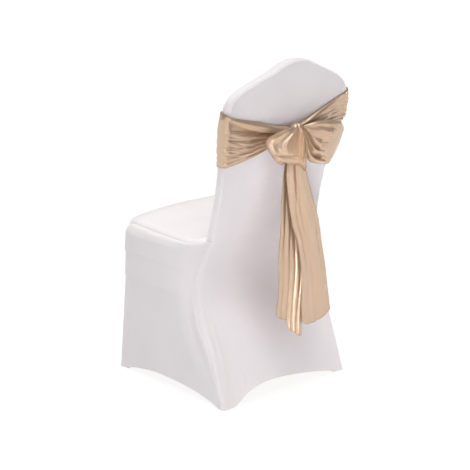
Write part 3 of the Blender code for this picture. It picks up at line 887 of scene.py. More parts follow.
@dataclass(frozen=True)
class CoverFolds:
    """The wrinkles of the rear panel, of the left side and of the seat panel."""

    rear: tuple[Wrinkle, ...] = (
        Wrinkle(0.0032, 0.005, (
            (0.2195, -0.002, 0.268), (0.216, 0.02, 0.225), (0.209, 0.041, 0.18),
            (0.206, 0.062, 0.12), (0.205, 0.084, 0.062),
        )),
        Wrinkle(-0.0022, 0.0055, (
            (0.21, 0.002, 0.285), (0.204, 0.018, 0.235), (0.2, 0.046, 0.165), (0.2, 0.076, 0.085),
        )),
        Wrinkle(0.0024, 0.008, (
            (0.2, -0.002, 0.3), (0.19, 0.03, 0.2), (0.192, 0.07, 0.1), (0.202, 0.096, 0.035),
        )),
        Wrinkle(0.0014, 0.011, ((0.18, 0.0, 0.3), (0.172, 0.04, 0.18), (0.196, 0.096, 0.03))),
        Wrinkle(0.0018, 0.007, (
            (-0.206, -0.004, 0.33), (-0.203, 0.04, 0.18), (-0.206, 0.085, 0.06),
        )),
        Wrinkle(0.0012, 0.01, ((-0.19, -0.004, 0.31), (-0.182, 0.04, 0.18), (-0.2, 0.094, 0.035))),
        Wrinkle(0.0022, 0.02, ((0.165, 0.012, 0.418), (0.0, 0.014, 0.424), (-0.165, 0.012, 0.418))),
        Wrinkle(-0.0015, 0.03, (
            (0.17, -0.004, 0.335), (0.0, -0.006, 0.345), (-0.17, -0.004, 0.335),
        )),
        *foot_wrinkles(Hand.RIGHT, (
            (0.212, 0.088, 0.05, 0.203, 0.102, 0.012, 0.0015, 0.0032),
            (0.204, 0.086, 0.056, 0.198, 0.101, 0.014, -0.0012, 0.003),
            (0.196, 0.084, 0.06, 0.19, 0.1, 0.018, 0.0013, 0.0035),
            (0.188, 0.088, 0.05, 0.182, 0.1, 0.016, -0.0009, 0.003),
            (0.214, 0.072, 0.092, 0.207, 0.088, 0.05, -0.0012, 0.003),
        )),
        *foot_wrinkles(Hand.LEFT, (
            (0.158, 0.09, 0.055, 0.166, 0.102, 0.014, 0.0009, 0.0035),
            (0.14, 0.088, 0.07, 0.146, 0.098, 0.03, 0.0009, 0.0035),
            (0.126, 0.088, 0.078, 0.131, 0.097, 0.038, -0.0007, 0.0035),
            (0.19, 0.088, 0.055, 0.2, 0.101, 0.012, -0.001, 0.004),
        )),
    )
    side: tuple[Wrinkle, ...] = (
        Wrinkle(0.0054, 0.0065, (
            (0.213, -0.031, 0.327), (0.221, -0.01, 0.244), (0.224, 0.025, 0.177),
            (0.224, 0.056, 0.111), (0.223, 0.08, 0.05),
        )),
        Wrinkle(-0.0044, 0.008, (
            (0.214, -0.05, 0.34), (0.223, -0.028, 0.23), (0.226, 0.01, 0.14), (0.224, 0.06, 0.06),
        )),
        Wrinkle(0.0034, 0.012, (
            (0.216, -0.08, 0.35), (0.226, -0.062, 0.23), (0.228, -0.02, 0.13), (0.225, 0.04, 0.05),
        )),
        Wrinkle(0.0026, 0.008, ((0.219, -0.3, 0.33), (0.225, -0.31, 0.2), (0.229, -0.335, 0.06))),
        Wrinkle(-0.0012, 0.011, (
            (0.221, -0.268, 0.3), (0.228, -0.285, 0.18), (0.231, -0.322, 0.05),
        )),
        Wrinkle(-0.0016, 0.006, (
            (0.2055, -0.03, 0.405), (0.199, -0.012, 0.425), (0.192, 0.004, 0.443),
        )),
        Wrinkle(0.0013, 0.008, (
            (0.214, -0.075, 0.395), (0.206, -0.04, 0.42), (0.195, -0.01, 0.44),
        )),
        *foot_wrinkles(Hand.LEFT, (
            (0.226, 0.07, 0.06, 0.223, 0.092, 0.016, 0.001, 0.0035),
            (0.228, 0.052, 0.066, 0.225, 0.076, 0.02, -0.0009, 0.0035),
            (0.231, -0.33, 0.062, 0.229, -0.345, 0.016, 0.001, 0.0035),
            (0.232, -0.312, 0.066, 0.23, -0.332, 0.018, -0.0009, 0.0035),
        )),
    )
    seat: tuple[Wrinkle, ...] = (
        Wrinkle(0.0012, 0.012, ((-0.15, -0.03, 0.46), (0.0, -0.012, 0.462), (0.15, -0.03, 0.46))),
        Wrinkle(0.0016, 0.009, ((0.19, -0.32, 0.4), (0.185, -0.335, 0.25), (0.205, -0.35, 0.06))),
        Wrinkle(0.0016, 0.009, (
            (-0.19, -0.32, 0.4), (-0.188, -0.335, 0.25), (-0.206, -0.35, 0.06),
        )),
        Wrinkle(0.0014, 0.009, ((-0.2, -0.315, 0.36), (0.0, -0.318, 0.365), (0.2, -0.315, 0.36))),
    )
    front_feet: Table = (
        (0.214, -0.344, 0.06, 0.211, -0.352, 0.014, 0.001, 0.0035),
        (0.198, -0.342, 0.066, 0.196, -0.35, 0.018, -0.0009, 0.0035),
        (0.182, -0.342, 0.062, 0.178, -0.348, 0.02, 0.0008, 0.0035),
    )


@dataclass(frozen=True)
class FootPocket:
    """A pocket closed under a chair's foot: a floor that turns up into a curved wall.

    leg holds the rows of the seam above it. Its rim's rows hold how far in from the wall and how
    far below the top each point lies. puckers holds how deep its puckers are, as a share of its
    radius, and how closely they follow each other round the foot.
    """

    end: End
    hand: Hand
    leg: Table
    flat: Pair = (0.060, 0.074)
    share_cut: float = 0.6
    thickness: float = 0.0010
    radius: float = 0.034
    height: float = 0.040
    bend: float = 0.004
    lift: float = 0.0009
    set_in: float = 0.0021
    floor_start: float = 0.002
    wall_start: float = 0.006
    rim: Table = ((0.0, 0.002), (0.0006, 0.0006), (0.0016, 0.0002))
    puckers: Pair = (0.012, 9.0)

    def profile(self) -> Array:
        """Its section, from the middle of its floor to its rim.

        Returns:
            How far out and how high each point lies.
        """
        radius, height, bend, lift = self.radius, self.height, self.bend, self.lift
        turn = np.linspace(0, math.pi / 2, 7)[1:]
        return np.array([
            *((out, lift) for out in np.linspace(self.floor_start, radius - bend, 9)),
            *((radius - bend * (1 - math.sin(a)), lift + bend * (1 - math.cos(a))) for a in turn),
            *((radius, rise) for rise in np.linspace(self.wall_start, height - self.rim[0][1], 12)),
            *((radius - inwards, height - below) for inwards, below in self.rim[1:]),
        ])

    def grid(self) -> Array:
        """Its points: rows go from the floor's middle to the rim, and columns round the foot.

        Returns:
            The grid.
        """
        turned = np.array([self.hand.value, 1, 1])
        foot, knee = np.array(self.leg[0]) * turned, np.array(self.leg[1]) * turned
        lean = (knee - foot) / knee[2]
        heel = foot + np.array([-self.hand.value, self.end.value, 0]) * self.set_in
        profile = self.profile()
        angles = np.linspace(0, math.pi / 2, 25)
        if (self.hand is Hand.LEFT) == (self.end is End.FRONT):
            angles = angles[::-1]
        ways = (-self.hand.value * np.cos(angles), self.end.value * np.sin(angles), 0 * angles)
        depth, pace = self.puckers
        puckered = 1 + depth * np.sin(pace * angles)[None] * (profile[:, 1:] / self.height)
        out = np.stack(ways, axis=1)[None] * profile[:, :1, None] * puckered[..., None]
        return heel + out + lean[None, None] * profile[:, 1:, None]

    def build(self, knit: Knit) -> None:
        """Makes the pocket in this knit."""
        node = f"foot_pocket_{self.end.name}_{self.hand.name}".lower()
        area = self.share_cut * self.flat[0] * self.flat[1]
        Cloth(
            f"{node}_cloth", self.grid(), knit, self.flat, Held.STRETCHED, (node,),
            area=area, thickness=self.thickness, offset=0.0,
        ).build()


@dataclass
class Cover:
    """The white cover: its panels, its hems' stitches and its foot pockets.

    The rough widths and heights only set how the points of the panels are spaced. A seam's puff
    holds its share of the seam's dip, its distance from the seam and its width. tightness is how
    much of the seam's dip the skirt's sides and the seat take. The seat's swell starts the higher
    on the front skirt, the higher swell_start is, and loses the share swell_loss at the backrest.
    unevenness holds the height, the breadth and the pattern of each layer of slight humps.
    """

    shape: CoverShape = CoverShape()
    folds: CoverFolds = CoverFolds()
    knit: Knit = Knit()
    thread: Thread = Thread((0.84, 0.83, 0.84), (0.66, 0.65, 0.67), "white_stretch")
    rough_width: float = 0.42
    rough_skirt: float = 0.46
    rough_back: float = 0.40
    rough_seat: float = 0.36
    step: float = 0.0052
    fine: float = 0.0010
    hem_depth: float = 0.011
    hem_fold: float = 0.0005
    hem_edge: float = 0.0006
    hem_stitch: float = 0.0095
    stitch_press: float = 0.8
    stitch_width: float = 0.0009
    seam_dip: float = 0.0007
    seam_width: float = 0.0016
    seam_puff: Triple = (0.35, 0.0045, 0.0022)
    tightness: float = 0.2
    swell_start: int = 8
    swell_loss: float = 0.4
    unevenness: Table = ((0.0009, 0.11, 5.0), (0.0003, 0.035, 2.0))

    def __post_init__(self) -> None:
        """Lays out every seam that the panels share."""
        shape = self.shape
        self.across = spread(self.rough_width, self.step, self.fine, (True, True))
        self.up_skirt = spread(self.rough_skirt, self.step, self.fine, (True, False))
        self.up_back = spread(self.rough_back, self.step, self.fine, (False, True))
        self.over_seat = spread(self.rough_seat, self.step, self.fine, (True, True))
        self.over_edge = spread(shape.slab_depth, self.step / 2, self.fine, (True, True))
        self.leg = seam(shape.rear_leg, self.up_skirt)
        self.side = seam(shape.backrest, self.up_back)
        half = seam(shape.crown, 2 * self.across[self.across <= 0.5])
        self.crown = spaced(np.vstack([half, mirrored(half[::-1])[1:]]), self.across)
        self.corner = seam(shape.front_leg, self.up_skirt)
        self.seat_side = seam(shape.seat_side, self.over_seat)
        self.forwards = np.array([0.0, -shape.slab_depth, 0.0])
        front_left = self.side[0] + self.forwards
        self.crease = blend(front_left, mirrored(front_left), self.across[:, None])
        gusset_end = blend(front_left, self.side[0], self.over_edge[:, None])
        self.side_top = np.vstack([self.seat_side[:-1], gusset_end])
        self.side_across = travelled(self.side_top) / travelled(self.side_top)[-1]

    def hem(self, start: Array, end: Array, rows: Table, across: Array, inward: Array) -> Array:
        """A hem between two feet, raised in its arch and pulled in a little.

        Args:
            start: one foot.
            end: the other foot.
            rows: the hem's table.
            across: fractions across, one to a point.
            inward: the way in under the chair.

        Returns:
            The hem's points.
        """
        line = blend(start, end, across[:, None])
        line[:, 2] = np.clip(column_of(rows, across, 1), 0, None)
        return line + inward * self.shape.hem_pull * arch(across)[:, None]

    def fillet(self, distance: Array, radius: Array | float) -> Array:
        """How far a rounded edge has risen, from 0 at the seam to 1 on the flat."""
        left_to_go = np.maximum(radius * HALF_ROOT - distance, 0) / radius
        return (np.sqrt(1 - left_to_go**2) - HALF_ROOT) / (1 - HALF_ROOT)

    def stretched(
        self,
        bottom: Array,
        top: Array,
        left: Array,
        right: Array,
        across: Array,
        falls: Array,
        climbs: Array,
    ) -> Array:
        """Rows of points between four seams, seen from outside left to right and bottom to top.

        Args:
            bottom: the bottom edge's points.
            top: the top edge's points.
            left: the left edge's points.
            right: the right edge's points.
            across: fractions across, one to a column.
            falls: how much of the bottom's curve each row takes.
            climbs: how much of the top's curve each row takes.

        Returns:
            The grid.
        """
        share = across[:, None]
        sag = bottom - blend(bottom[0], bottom[-1], share)
        arc = top - blend(top[0], top[-1], share)
        straight = blend(left[:, None], right[:, None], share[None])
        return straight + sag * falls[:, None, None] + arc * climbs[:, None, None]

    def rounded(
        self,
        grid: Array,
        left: Array,
        right: Array,
        bottom: float | None,
        top: float | None,
        swell: Array | float = 0.0,
        drawn_in: float = 1.0,
    ) -> Array:
        """A panel with its edges rounded off, its middle swollen and its seams drawn in.

        Args:
            grid: the panel's points.
            left: its left edge's radius at each row.
            right: its right edge's radius at each row.
            bottom: its bottom edge's radius, or None for a hem.
            top: its top edge's radius, or None.
            swell: how far its middle swells.
            drawn_in: how tightly its seams are drawn in, from 0 to 1.

        Returns:
            The shaped grid.
        """
        from_left = np.linalg.norm(grid - grid[:, :1], axis=-1)
        from_right = np.linalg.norm(grid[:, -1:] - grid, axis=-1)
        from_bottom = np.linalg.norm(grid - grid[:1], axis=-1)
        left, right = left[:, None], right[:, None]
        edges = [(from_left, left), (from_right, right)]
        if bottom is not None:
            edges.append((from_bottom, bottom))
        if top is not None:
            edges.append((np.linalg.norm(grid[-1:] - grid, axis=-1), top))
        share = np.prod([self.fillet(distance, radius) for distance, radius in edges], axis=0)
        across = from_left / (from_left + from_right)
        rise = blend(left, right, across) * (1 - HALF_ROOT) + swell
        shaped = grid + normals_of(grid) * (rise * share)[..., None]
        nearest = np.minimum.reduce([distance for distance, _ in edges])
        dip = self.seam_dip * hump(nearest, 0, self.seam_width)
        share, place, width = self.seam_puff
        puff = share * self.seam_dip * hump(nearest, place, width)
        relief = (puff - dip) * drawn_in
        if bottom is None:
            fold = past(-from_bottom, -self.hem_depth, self.hem_edge)
            pressed = self.stitch_press * hump(from_bottom, self.hem_stitch, self.stitch_width)
            relief = relief + self.hem_fold * (fold - pressed) + self.gathers(shaped, from_bottom)
        return shaped + normals_of(shaped) * relief[..., None]

    def gathers(self, grid: Array, from_hem: Array) -> Array:
        """The short, uneven puckers that a stitched hem makes in stretch cloth.

        Args:
            grid: a panel's points.
            from_hem: how far from its hem each lies.

        Returns:
            One height for each point, in metres.
        """
        height, pitch, reach = 0.0006, 0.011, 0.022
        evenness, patch_size, sway, sway_size = 0.35, 0.06, 5, 0.03
        line = grid[:1]
        patchy = np.clip(rough_field(line, patch_size, 3.1) + evenness, 0, 1)
        drift = sway * rough_field(line, sway_size, 8.4)
        waves = np.sin(2 * math.pi * travelled(line[0])[None] / pitch + drift)
        return height * patchy * waves * hump(from_hem, 0, reach)

    def creased(self, grid: Array, wrinkles: Iterable[Wrinkle]) -> Array:
        """A panel with its wrinkles and its slight unevenness, left still along its seams.

        Args:
            grid: the panel's points.
            wrinkles: its wrinkles.

        Returns:
            The grid.
        """
        margin = 10
        relief = sum(height * rough_field(grid, size, seed) for height, size, seed in self.unevenness)
        relief = sum((wrinkle.rise(grid) for wrinkle in wrinkles), relief)
        rows, columns = (
            np.clip(np.minimum(np.arange(count), np.arange(count)[::-1]) / margin, 0, 1)
            for count in grid.shape[:2]
        )
        return grid + normals_of(grid) * (relief * rows[:, None] * columns[None])[..., None]

    def rear_panel(self) -> Array:
        """The back length of cloth, from its hem to the crown.

        Returns:
            The grid.
        """
        shape = self.shape
        first, last = self.leg[0], mirrored(self.leg[0])
        hem = self.hem(first, last, shape.rear_hem, self.across, np.array([0, -1.0, 0]))
        upright = np.vstack([self.leg, self.side[1:]])
        falls = np.concatenate([1 - self.up_skirt, np.zeros(len(self.side) - 1)])
        climbs = np.concatenate([np.zeros(len(self.leg)), self.up_back[1:]])
        grid = self.stretched(
            hem, self.crown, upright, mirrored(upright), self.across, falls, climbs
        )
        radius = np.interp(upright[:, 2], shape.waist, (shape.edge_radius, shape.slab_radius))
        grid = self.rounded(grid, radius, radius, None, shape.slab_radius)
        return self.creased(grid, self.folds.rear)

    def skirt_side(self, hand: Hand) -> Array:
        """A side of the skirt, from its hem up to the seat.

        Args:
            hand: which side.

        Returns:
            The grid.
        """
        shape, along = self.shape, self.side_across
        inward = np.array([-1.0, 0, 0])
        hem = self.hem(self.leg[0], self.corner[0], shape.side_hem, 1 - along, inward)
        grid = self.stretched(
            hem, self.side_top, self.corner, self.leg, along, 1 - self.up_skirt, self.up_skirt
        )
        skirt = blend(shape.edge_radius, shape.corner_radius, self.up_skirt**2)
        rear = np.full(len(self.leg), shape.edge_radius)
        grid = self.rounded(grid, skirt, rear, None, shape.seat_radius, drawn_in=self.tightness)
        height, back = grid[..., 2], grid[..., 1]
        bulge = sum(out * past(height, level, soft) for level, soft, out in shape.ledges)
        bulge = bulge * past(-back, *shape.ledge_rear) * past(back, *shape.ledge_front)
        bulge = bulge * np.clip((shape.seat_edge - height) / shape.seat_fade, 0, 1)
        grid = grid + normals_of(grid) * bulge[..., None]
        grid = self.creased(grid, self.folds.side)
        return grid if hand is Hand.LEFT else mirrored(grid[:, ::-1])

    def seat_panel(self) -> Array:
        """The front skirt and the seat, in one length of cloth.

        Returns:
            The grid.
        """
        shape, across = self.shape, self.across
        first, last = self.corner[0], mirrored(self.corner[0])
        hem = self.hem(first, last, shape.rear_hem, across, np.array([0, 1.0, 0]))
        upright = np.vstack([self.corner, self.seat_side[1:]])
        flat = np.zeros(len(self.seat_side) - 1)
        falls = np.concatenate([1 - self.up_skirt, flat])
        grid = self.stretched(
            hem[::-1], self.crease[::-1], mirrored(upright), upright, across, falls, 0 * falls
        )
        skirt = blend(shape.edge_radius, shape.corner_radius, self.up_skirt**2)
        radius = np.concatenate([skirt, flat + shape.seat_radius])
        radius = soften(radius[:, None], 3)[:, 0]
        lessened = 1 - self.swell_loss * self.over_seat[1:]
        fade = np.concatenate([self.up_skirt**self.swell_start, lessened])
        swell = shape.seat_swell * fade[:, None] * bell(across)[None]
        grid = self.rounded(
            grid, radius, radius, None, shape.crease_radius, swell, self.tightness
        )
        feet = [foot_wrinkles(hand, self.folds.front_feet) for hand in Hand]
        return self.creased(grid, (*self.folds.seat, *feet[0], *feet[1]))

    def inside_back(self) -> Array:
        """The backrest's panel on the sitter's side.

        Returns:
            The grid.
        """
        shape = self.shape
        front_side = self.side + self.forwards
        front_crown = self.crown + self.forwards
        grid = self.stretched(
            self.crease[::-1],
            front_crown[::-1],
            mirrored(front_side),
            front_side,
            self.across,
            0 * self.up_back,
            self.up_back,
        )
        radius = np.full(len(self.up_back), shape.slab_radius)
        swell = shape.back_swell * bell(self.across)[None]
        grid = self.rounded(grid, radius, radius, shape.crease_radius, shape.slab_radius, swell)
        return self.creased(grid, ())

    def gusset(self) -> Array:
        """The boxing strip round the backrest's sides and crown.

        Returns:
            The grid.
        """
        shape = self.shape
        rear = np.vstack([self.side, self.crown[1:-1], mirrored(self.side[::-1])])
        grid = blend((rear + self.forwards)[:, None], rear[:, None], self.over_edge[None, :, None])
        radius = np.full(len(grid), shape.slab_radius)
        return self.rounded(grid, radius, radius, shape.join_radius, shape.join_radius)

    def hem_stitches(self, name: str, grid: Array) -> bpy.types.Object:
        """The row of stitches that holds a panel's hem.

        Args:
            name: the piece's name.
            grid: the panel's points.

        Returns:
            The finished object.
        """
        up_middle = np.linalg.norm(grid - grid[:1], axis=-1)[:, grid.shape[1] // 2]
        row = int(np.argmin(np.abs(up_middle - self.hem_stitch)))
        return stitches(name, grid[row], normals_of(grid)[row], self.thread)

    def build(self) -> dict[str, Array]:
        """Makes every piece of the cover.

        Returns:
            The grids that the sash lies on.
        """
        rear, inside, gusset = self.rear_panel(), self.inside_back(), self.gusset()
        left, right = self.skirt_side(Hand.LEFT), self.skirt_side(Hand.RIGHT)
        hemmed = {
            "rear_panel": (rear, (0.435, 0.945), 0.362, self.across),
            "seat_panel": (self.seat_panel(), (0.435, 0.760), 0.322, self.across),
            "side_panel_left": (left, (0.375, 0.425), 0.152, self.side_across),
            "side_panel_right": (right, (0.375, 0.425), 0.152, 1 - self.side_across[::-1]),
        }
        for node, (grid, flat, area, across) in hemmed.items():
            sewn = self.hem_stitches(f"{node}_hem_stitches", grid)
            Cloth(
                f"{node}_cloth", grid, self.knit, flat, Held.STRETCHED, (node,),
                area=area, across=across,
            ).build([sewn])
        Cloth(
            "inside_back_cloth", inside, self.knit, flat=(0.405, 0.505), held=Held.STRETCHED,
            nodes=("inside_back",), area=0.181, across=self.across,
        ).build()
        Cloth(
            "edge_gusset_cloth", gusset, self.knit, flat=(0.024, 1.260), held=Held.STRETCHED,
            nodes=("edge_gusset",), across=self.over_edge,
        ).build()
        legs = {End.REAR: self.shape.rear_leg, End.FRONT: self.shape.front_leg}
        for end, leg in legs.items():
            for hand in Hand:
                FootPocket(end, hand, leg).build(self.knit)
        return {"rear": rear, "inside": inside, "gusset": gusset}


# ---------------------------------------------------------------------------------------------
# The sash


@dataclass(frozen=True)
class Station:
    """An upright line on the cover that the band crosses.

    leftness runs from 0 on the sitter's right to 1 on the left, and reach is how far the line lies
    from the rear panel's middle, or None off the rear panel.
    """

    line: Array
    leftness: float
    reach: float | None = None


@dataclass(frozen=True)
class BandSide:
    """The band on one side of its knot.

    Its rows hold x, its low and high edges and how far it stands off the cover. Its pleats' places
    along it run from 0 at the knot to 1 at the cover's edge.
    """

    rows: Table
    pleats: Pleats

    def relief(self, reach: Array, full_reach: float, across: Array) -> Array:
        """Its pleats' relief, at these distances from the rear panel's middle.

        Args:
            reach: distances from the rear panel's middle.
            full_reach: the cover's edge.
            across: fractions across the band.

        Returns:
            Heights, in metres.
        """
        start = self.rows[0][0]
        along = np.clip((reach - start) / (full_reach - start), 0, 1)
        return pleated(self.pleats, along, across)


@dataclass(frozen=True)
class Band:
    """The band round the backrest, gathered towards the knot on both sides of it.

    depth is how much deeper its pleats lie than their tables say. looseness is the share of its
    folds that shows behind the backrest, in front of it, and on the narrow sides. Its fine creases
    have a height, a length and a pitch, and lie quiet on a fold near the left side's high edge.
    hollow is how far a valley may reach below its clearance and its lift: in metres, and as a
    share of the lift.
    """

    left: BandSide
    right: BandSide
    flat: Pair = (0.160, 0.880)
    columns: int = 109
    knot_height: float = 0.74
    side_reach: float = 0.205
    full_width: float = 0.13
    clearance: float = 0.0016
    depth: float = 1.55
    sag: float = 0.5
    hollow: Pair = (0.0006, 0.8)
    looseness: Triple = (1.0, 0.45, 0.1)
    creases: Triple = (0.0022, 0.042, 0.046)
    crease_in_front: float = 0.2
    crease_at_knot: float = 0.7
    knot_reach: float = 0.10
    quiet: Triple = (0.85, 0.88, 0.09)

    def stations(self, rear: Array, inside: Array, gusset: Array) -> list[Station]:
        """The lines that it crosses, from left of the knot, round the front, to right of the knot.

        Args:
            rear: the rear panel's grid.
            inside: the inside back's.
            gusset: the gusset's.

        Returns:
            The stations in order.
        """
        half, past_knot = len(gusset) // 2, 0.004
        left_edge, right_edge = gusset[:half, ::-1], gusset[half:][::-1]
        level = np.argmin(np.abs(rear[:, rear.shape[1] // 2, 2] - self.knot_height))
        x = rear[level, :, 0]
        on_left = np.nonzero(x >= self.left.rows[0][0] - past_knot)[0][::-1]
        on_right = np.nonzero(x <= -self.right.rows[0][0])[0][::-1]
        last = inside.shape[1] - 1
        return [
            *(Station(rear[:, k], 1.0, abs(x[k])) for k in on_left),
            *(Station(left_edge[:, k], 1.0) for k in range(1, left_edge.shape[1] - 1)),
            *(Station(inside[:, k], k / last) for k in range(last + 1)[::-1]),
            *(Station(right_edge[:, k], 0.0) for k in range(1, right_edge.shape[1] - 1)),
            *(Station(rear[:, k], 0.0, abs(x[k])) for k in on_right),
        ]

    def laid(self, stations: Sequence[Station], heights: Array) -> Array:
        """The points of the cover at these heights on each of the stations.

        Args:
            stations: the lines that the band crosses.
            heights: one row to a station.

        Returns:
            One point for each height.
        """
        base = np.empty((*heights.shape, 3))
        for row, station in enumerate(stations):
            line = station.line[np.argsort(station.line[:, 2])]
            for axis in (0, 1):
                base[row, :, axis] = np.interp(heights[row], line[:, 2], line[:, axis])
        base[..., 2] = heights
        return base

    def grid(self, grids: dict[str, Array]) -> Array:
        """The band's points, laid on the cover.

        Args:
            grids: the cover's rear, inside and gusset grids.

        Returns:
            The band's grid: rows go round, and columns up.
        """
        stations = self.stations(grids["rear"], grids["inside"], grids["gusset"])
        behind = np.array([station.reach is not None for station in stations])
        leftness = np.array([station.leftness for station in stations])
        reach = np.array([self.side_reach if s.reach is None else s.reach for s in stations])
        reach = np.clip(reach, 0, self.side_reach)
        across = np.linspace(0, 1, self.columns)
        low, high, lift = (
            soften(
                blend(
                    column_of(self.right.rows, reach, index),
                    column_of(self.left.rows, reach, index),
                    leftness,
                )[:, None],
                2.5,
            )
            for index in (1, 2, 3)
        )
        relief = blend(
            self.right.relief(reach, self.side_reach, across),
            self.left.relief(reach, self.side_reach, across),
            leftness[:, None],
        )
        # Where the band is spread out, each fold sags over the one below it.
        spread_out = np.clip((high - low) / self.full_width, 0, 1) ** 2
        sag = self.sag * soften(relief, 1.0) * arch(across, 8)[None] * spread_out
        base = self.laid(stations, blend(low, high, across[None]) - sag)
        middle = self.columns // 2

        in_front = (leftness > 0) & (leftness < 1)
        free, inner, edge = self.looseness
        loose = soften(np.where(behind, free, np.where(in_front, inner, edge))[:, None], 2.0)
        height, length, pitch = self.creases
        share, place, width = self.quiet
        fine = ripples(travelled(base[:, middle]), across, length, pitch, 3.0) * arch(across)
        fine = fine * (1 - share * hump(across, place, width) * leftness[:, None])
        off_knot = hump(reach, self.side_reach, self.knot_reach)
        fine = fine * blend(self.crease_at_knot, 1.0, off_knot)[:, None]
        fine = fine * np.where(in_front, self.crease_in_front, 1.0)[:, None]
        relief = loose * (self.depth * relief + height * fine)

        # The folds' bases stand clear of the cover, and their valleys stop just short of it.
        lift = lift * bell(across)[None]
        depth, share = self.hollow
        lowest = -depth - share * lift
        rise = self.clearance + lift + np.maximum(relief + self.clearance, lowest)
        outwards = np.repeat(normals_of(base)[:, middle : middle + 1], self.columns, axis=1)
        return base + unit(soften(outwards, 1.5)) * soften(rise, 0.8)[..., None]


@dataclass(frozen=True)
class Loop:
    """A loop of the bow, from the front of the knot, round and back to it.

    Its rows, the stations, hold a point on each of the strip's edges and how far it puffs out
    between them. Its pleats' places along it are stations. Over the pinched stations at each end,
    its relief sinks to the share pinched_relief. A crease runs across it at a station, with a
    height, and has a hollow after it: a share of that height, how many stations on, and its width.
    Its folds lean over by lean for each metre that they stand up. Its humps have a height and a
    size, and its fine creases a height, a length and a pitch.
    """

    node: str
    flat: Pair
    crease: Pair
    lean: float
    rows: Table
    pleats: Pleats
    shape: tuple[int, int] = (221, 129)
    pinched: float = 0.6
    pinched_relief: float = 0.45
    crease_width: float = 0.14
    hollow: Triple = (0.8, 0.45, 0.2)
    humps: Pair = (0.0024, 0.032)
    creases: Triple = (0.0003, 1.6, 0.075)

    def crease_relief(self, station: Array) -> Array:
        """The crease across the loop, and the hollow after it.

        Args:
            station: places along the loop.

        Returns:
            Heights, in metres.
        """
        place, height = self.crease
        share, on, width = self.hollow
        peak = np.exp(-np.abs(station - place) / self.crease_width)
        return height * (peak - share * hump(station, place + on, width))

    def grid(self) -> Array:
        """The loop's points: rows go along it, and columns across.

        Returns:
            The grid.
        """
        table = np.array(self.rows)
        last = len(table) - 1
        curve = smooth_line(np.column_stack([table, np.arange(last + 1)]), 40)
        lengths = travelled((curve[:, 0:3] + curve[:, 3:6]) / 2)
        laid = read_along(curve, lengths, np.linspace(0, lengths[-1], self.shape[0]))
        inner, outer, belly, station = laid[:, 0:3], laid[:, 3:6], laid[:, 6], laid[:, 7]
        across = np.linspace(0, 1, self.shape[1])
        onward = np.gradient((inner + outer) / 2, axis=0)
        outwards = soften(unit(np.cross(outer - inner, onward)), 3)
        unpuffed = blend(inner[:, None], outer[:, None], across[None, :, None])
        free = np.clip(np.minimum(station, last - station) / self.pinched, 0, 1)[:, None]
        height, size = self.humps
        puff = (belly + self.crease_relief(station))[:, None]
        puff = puff + height * rough_field(unpuffed, size, 6.0) * free
        height, length, pitch = self.creases
        puff = puff + height * ripples(station, across, length, pitch, 9.0)
        relief = pleated(self.pleats, station, across) + puff * bell(across)[None]
        relief = soften(relief, 0.8) * blend(self.pinched_relief, 1.0, free)
        width = np.linalg.norm(outer - inner, axis=1)[:, None]
        slid = np.clip(across[None] + self.lean * relief / width * arch(across, 6), 0, 1)
        leant = blend(inner[:, None], outer[:, None], slid[..., None])
        return leant + outwards[:, None] * relief[..., None]


@dataclass(frozen=True)
class Tail:
    """A hanging end of the sash.

    Its rows hold a height, its left and right edges and how far back it hangs. Its cut edge's rows
    hold a place across it and a height. Its pleats' places along it run from 0 at the knot to 1.
    dent is where a small crumple lies, along it from the knot and across it. Its sway and its
    crumple have a height and a size.
    """

    node: str
    flat: Pair
    dent: Pair
    rows: Table
    cut: Table
    pleats: Pleats
    shape: tuple[int, int] = (261, 81)
    rough_width: float = 0.09
    sway: Pair = (0.0055, 0.11)
    crumple: Pair = (0.0042, 0.022)
    dent_size: Pair = (0.06, 0.19)

    def grid(self) -> Array:
        """The tail's points: rows go up from its cut edge to the knot, and columns across.

        Returns:
            The grid.
        """
        along, across = (np.linspace(0, 1, count) for count in self.shape)
        cut = soften(np.interp(across, *np.array(self.cut).T)[:, None], 0.9)[:, 0]
        height = blend(cut[None], self.rows[0][0], along[:, None])
        left, right, back = (
            column_of(self.rows, height.ravel(), index).reshape(height.shape)
            for index in (1, 2, 3)
        )
        down = 1 - along
        place = np.stack([left + across * self.rough_width, back, height], axis=-1)
        rise, size = self.sway
        out = back + pleated(self.pleats, down, across)
        out = out + rise * rough_field(place, size, 4.0) * np.sqrt(down)[:, None]
        rise, size = self.crumple
        dented = patch(down, across, self.dent, self.dent_size)
        out = out + rise * rough_field(place, size, 1.0) * dented
        return np.stack([blend(left, right, across[None]), out, height], axis=-1)


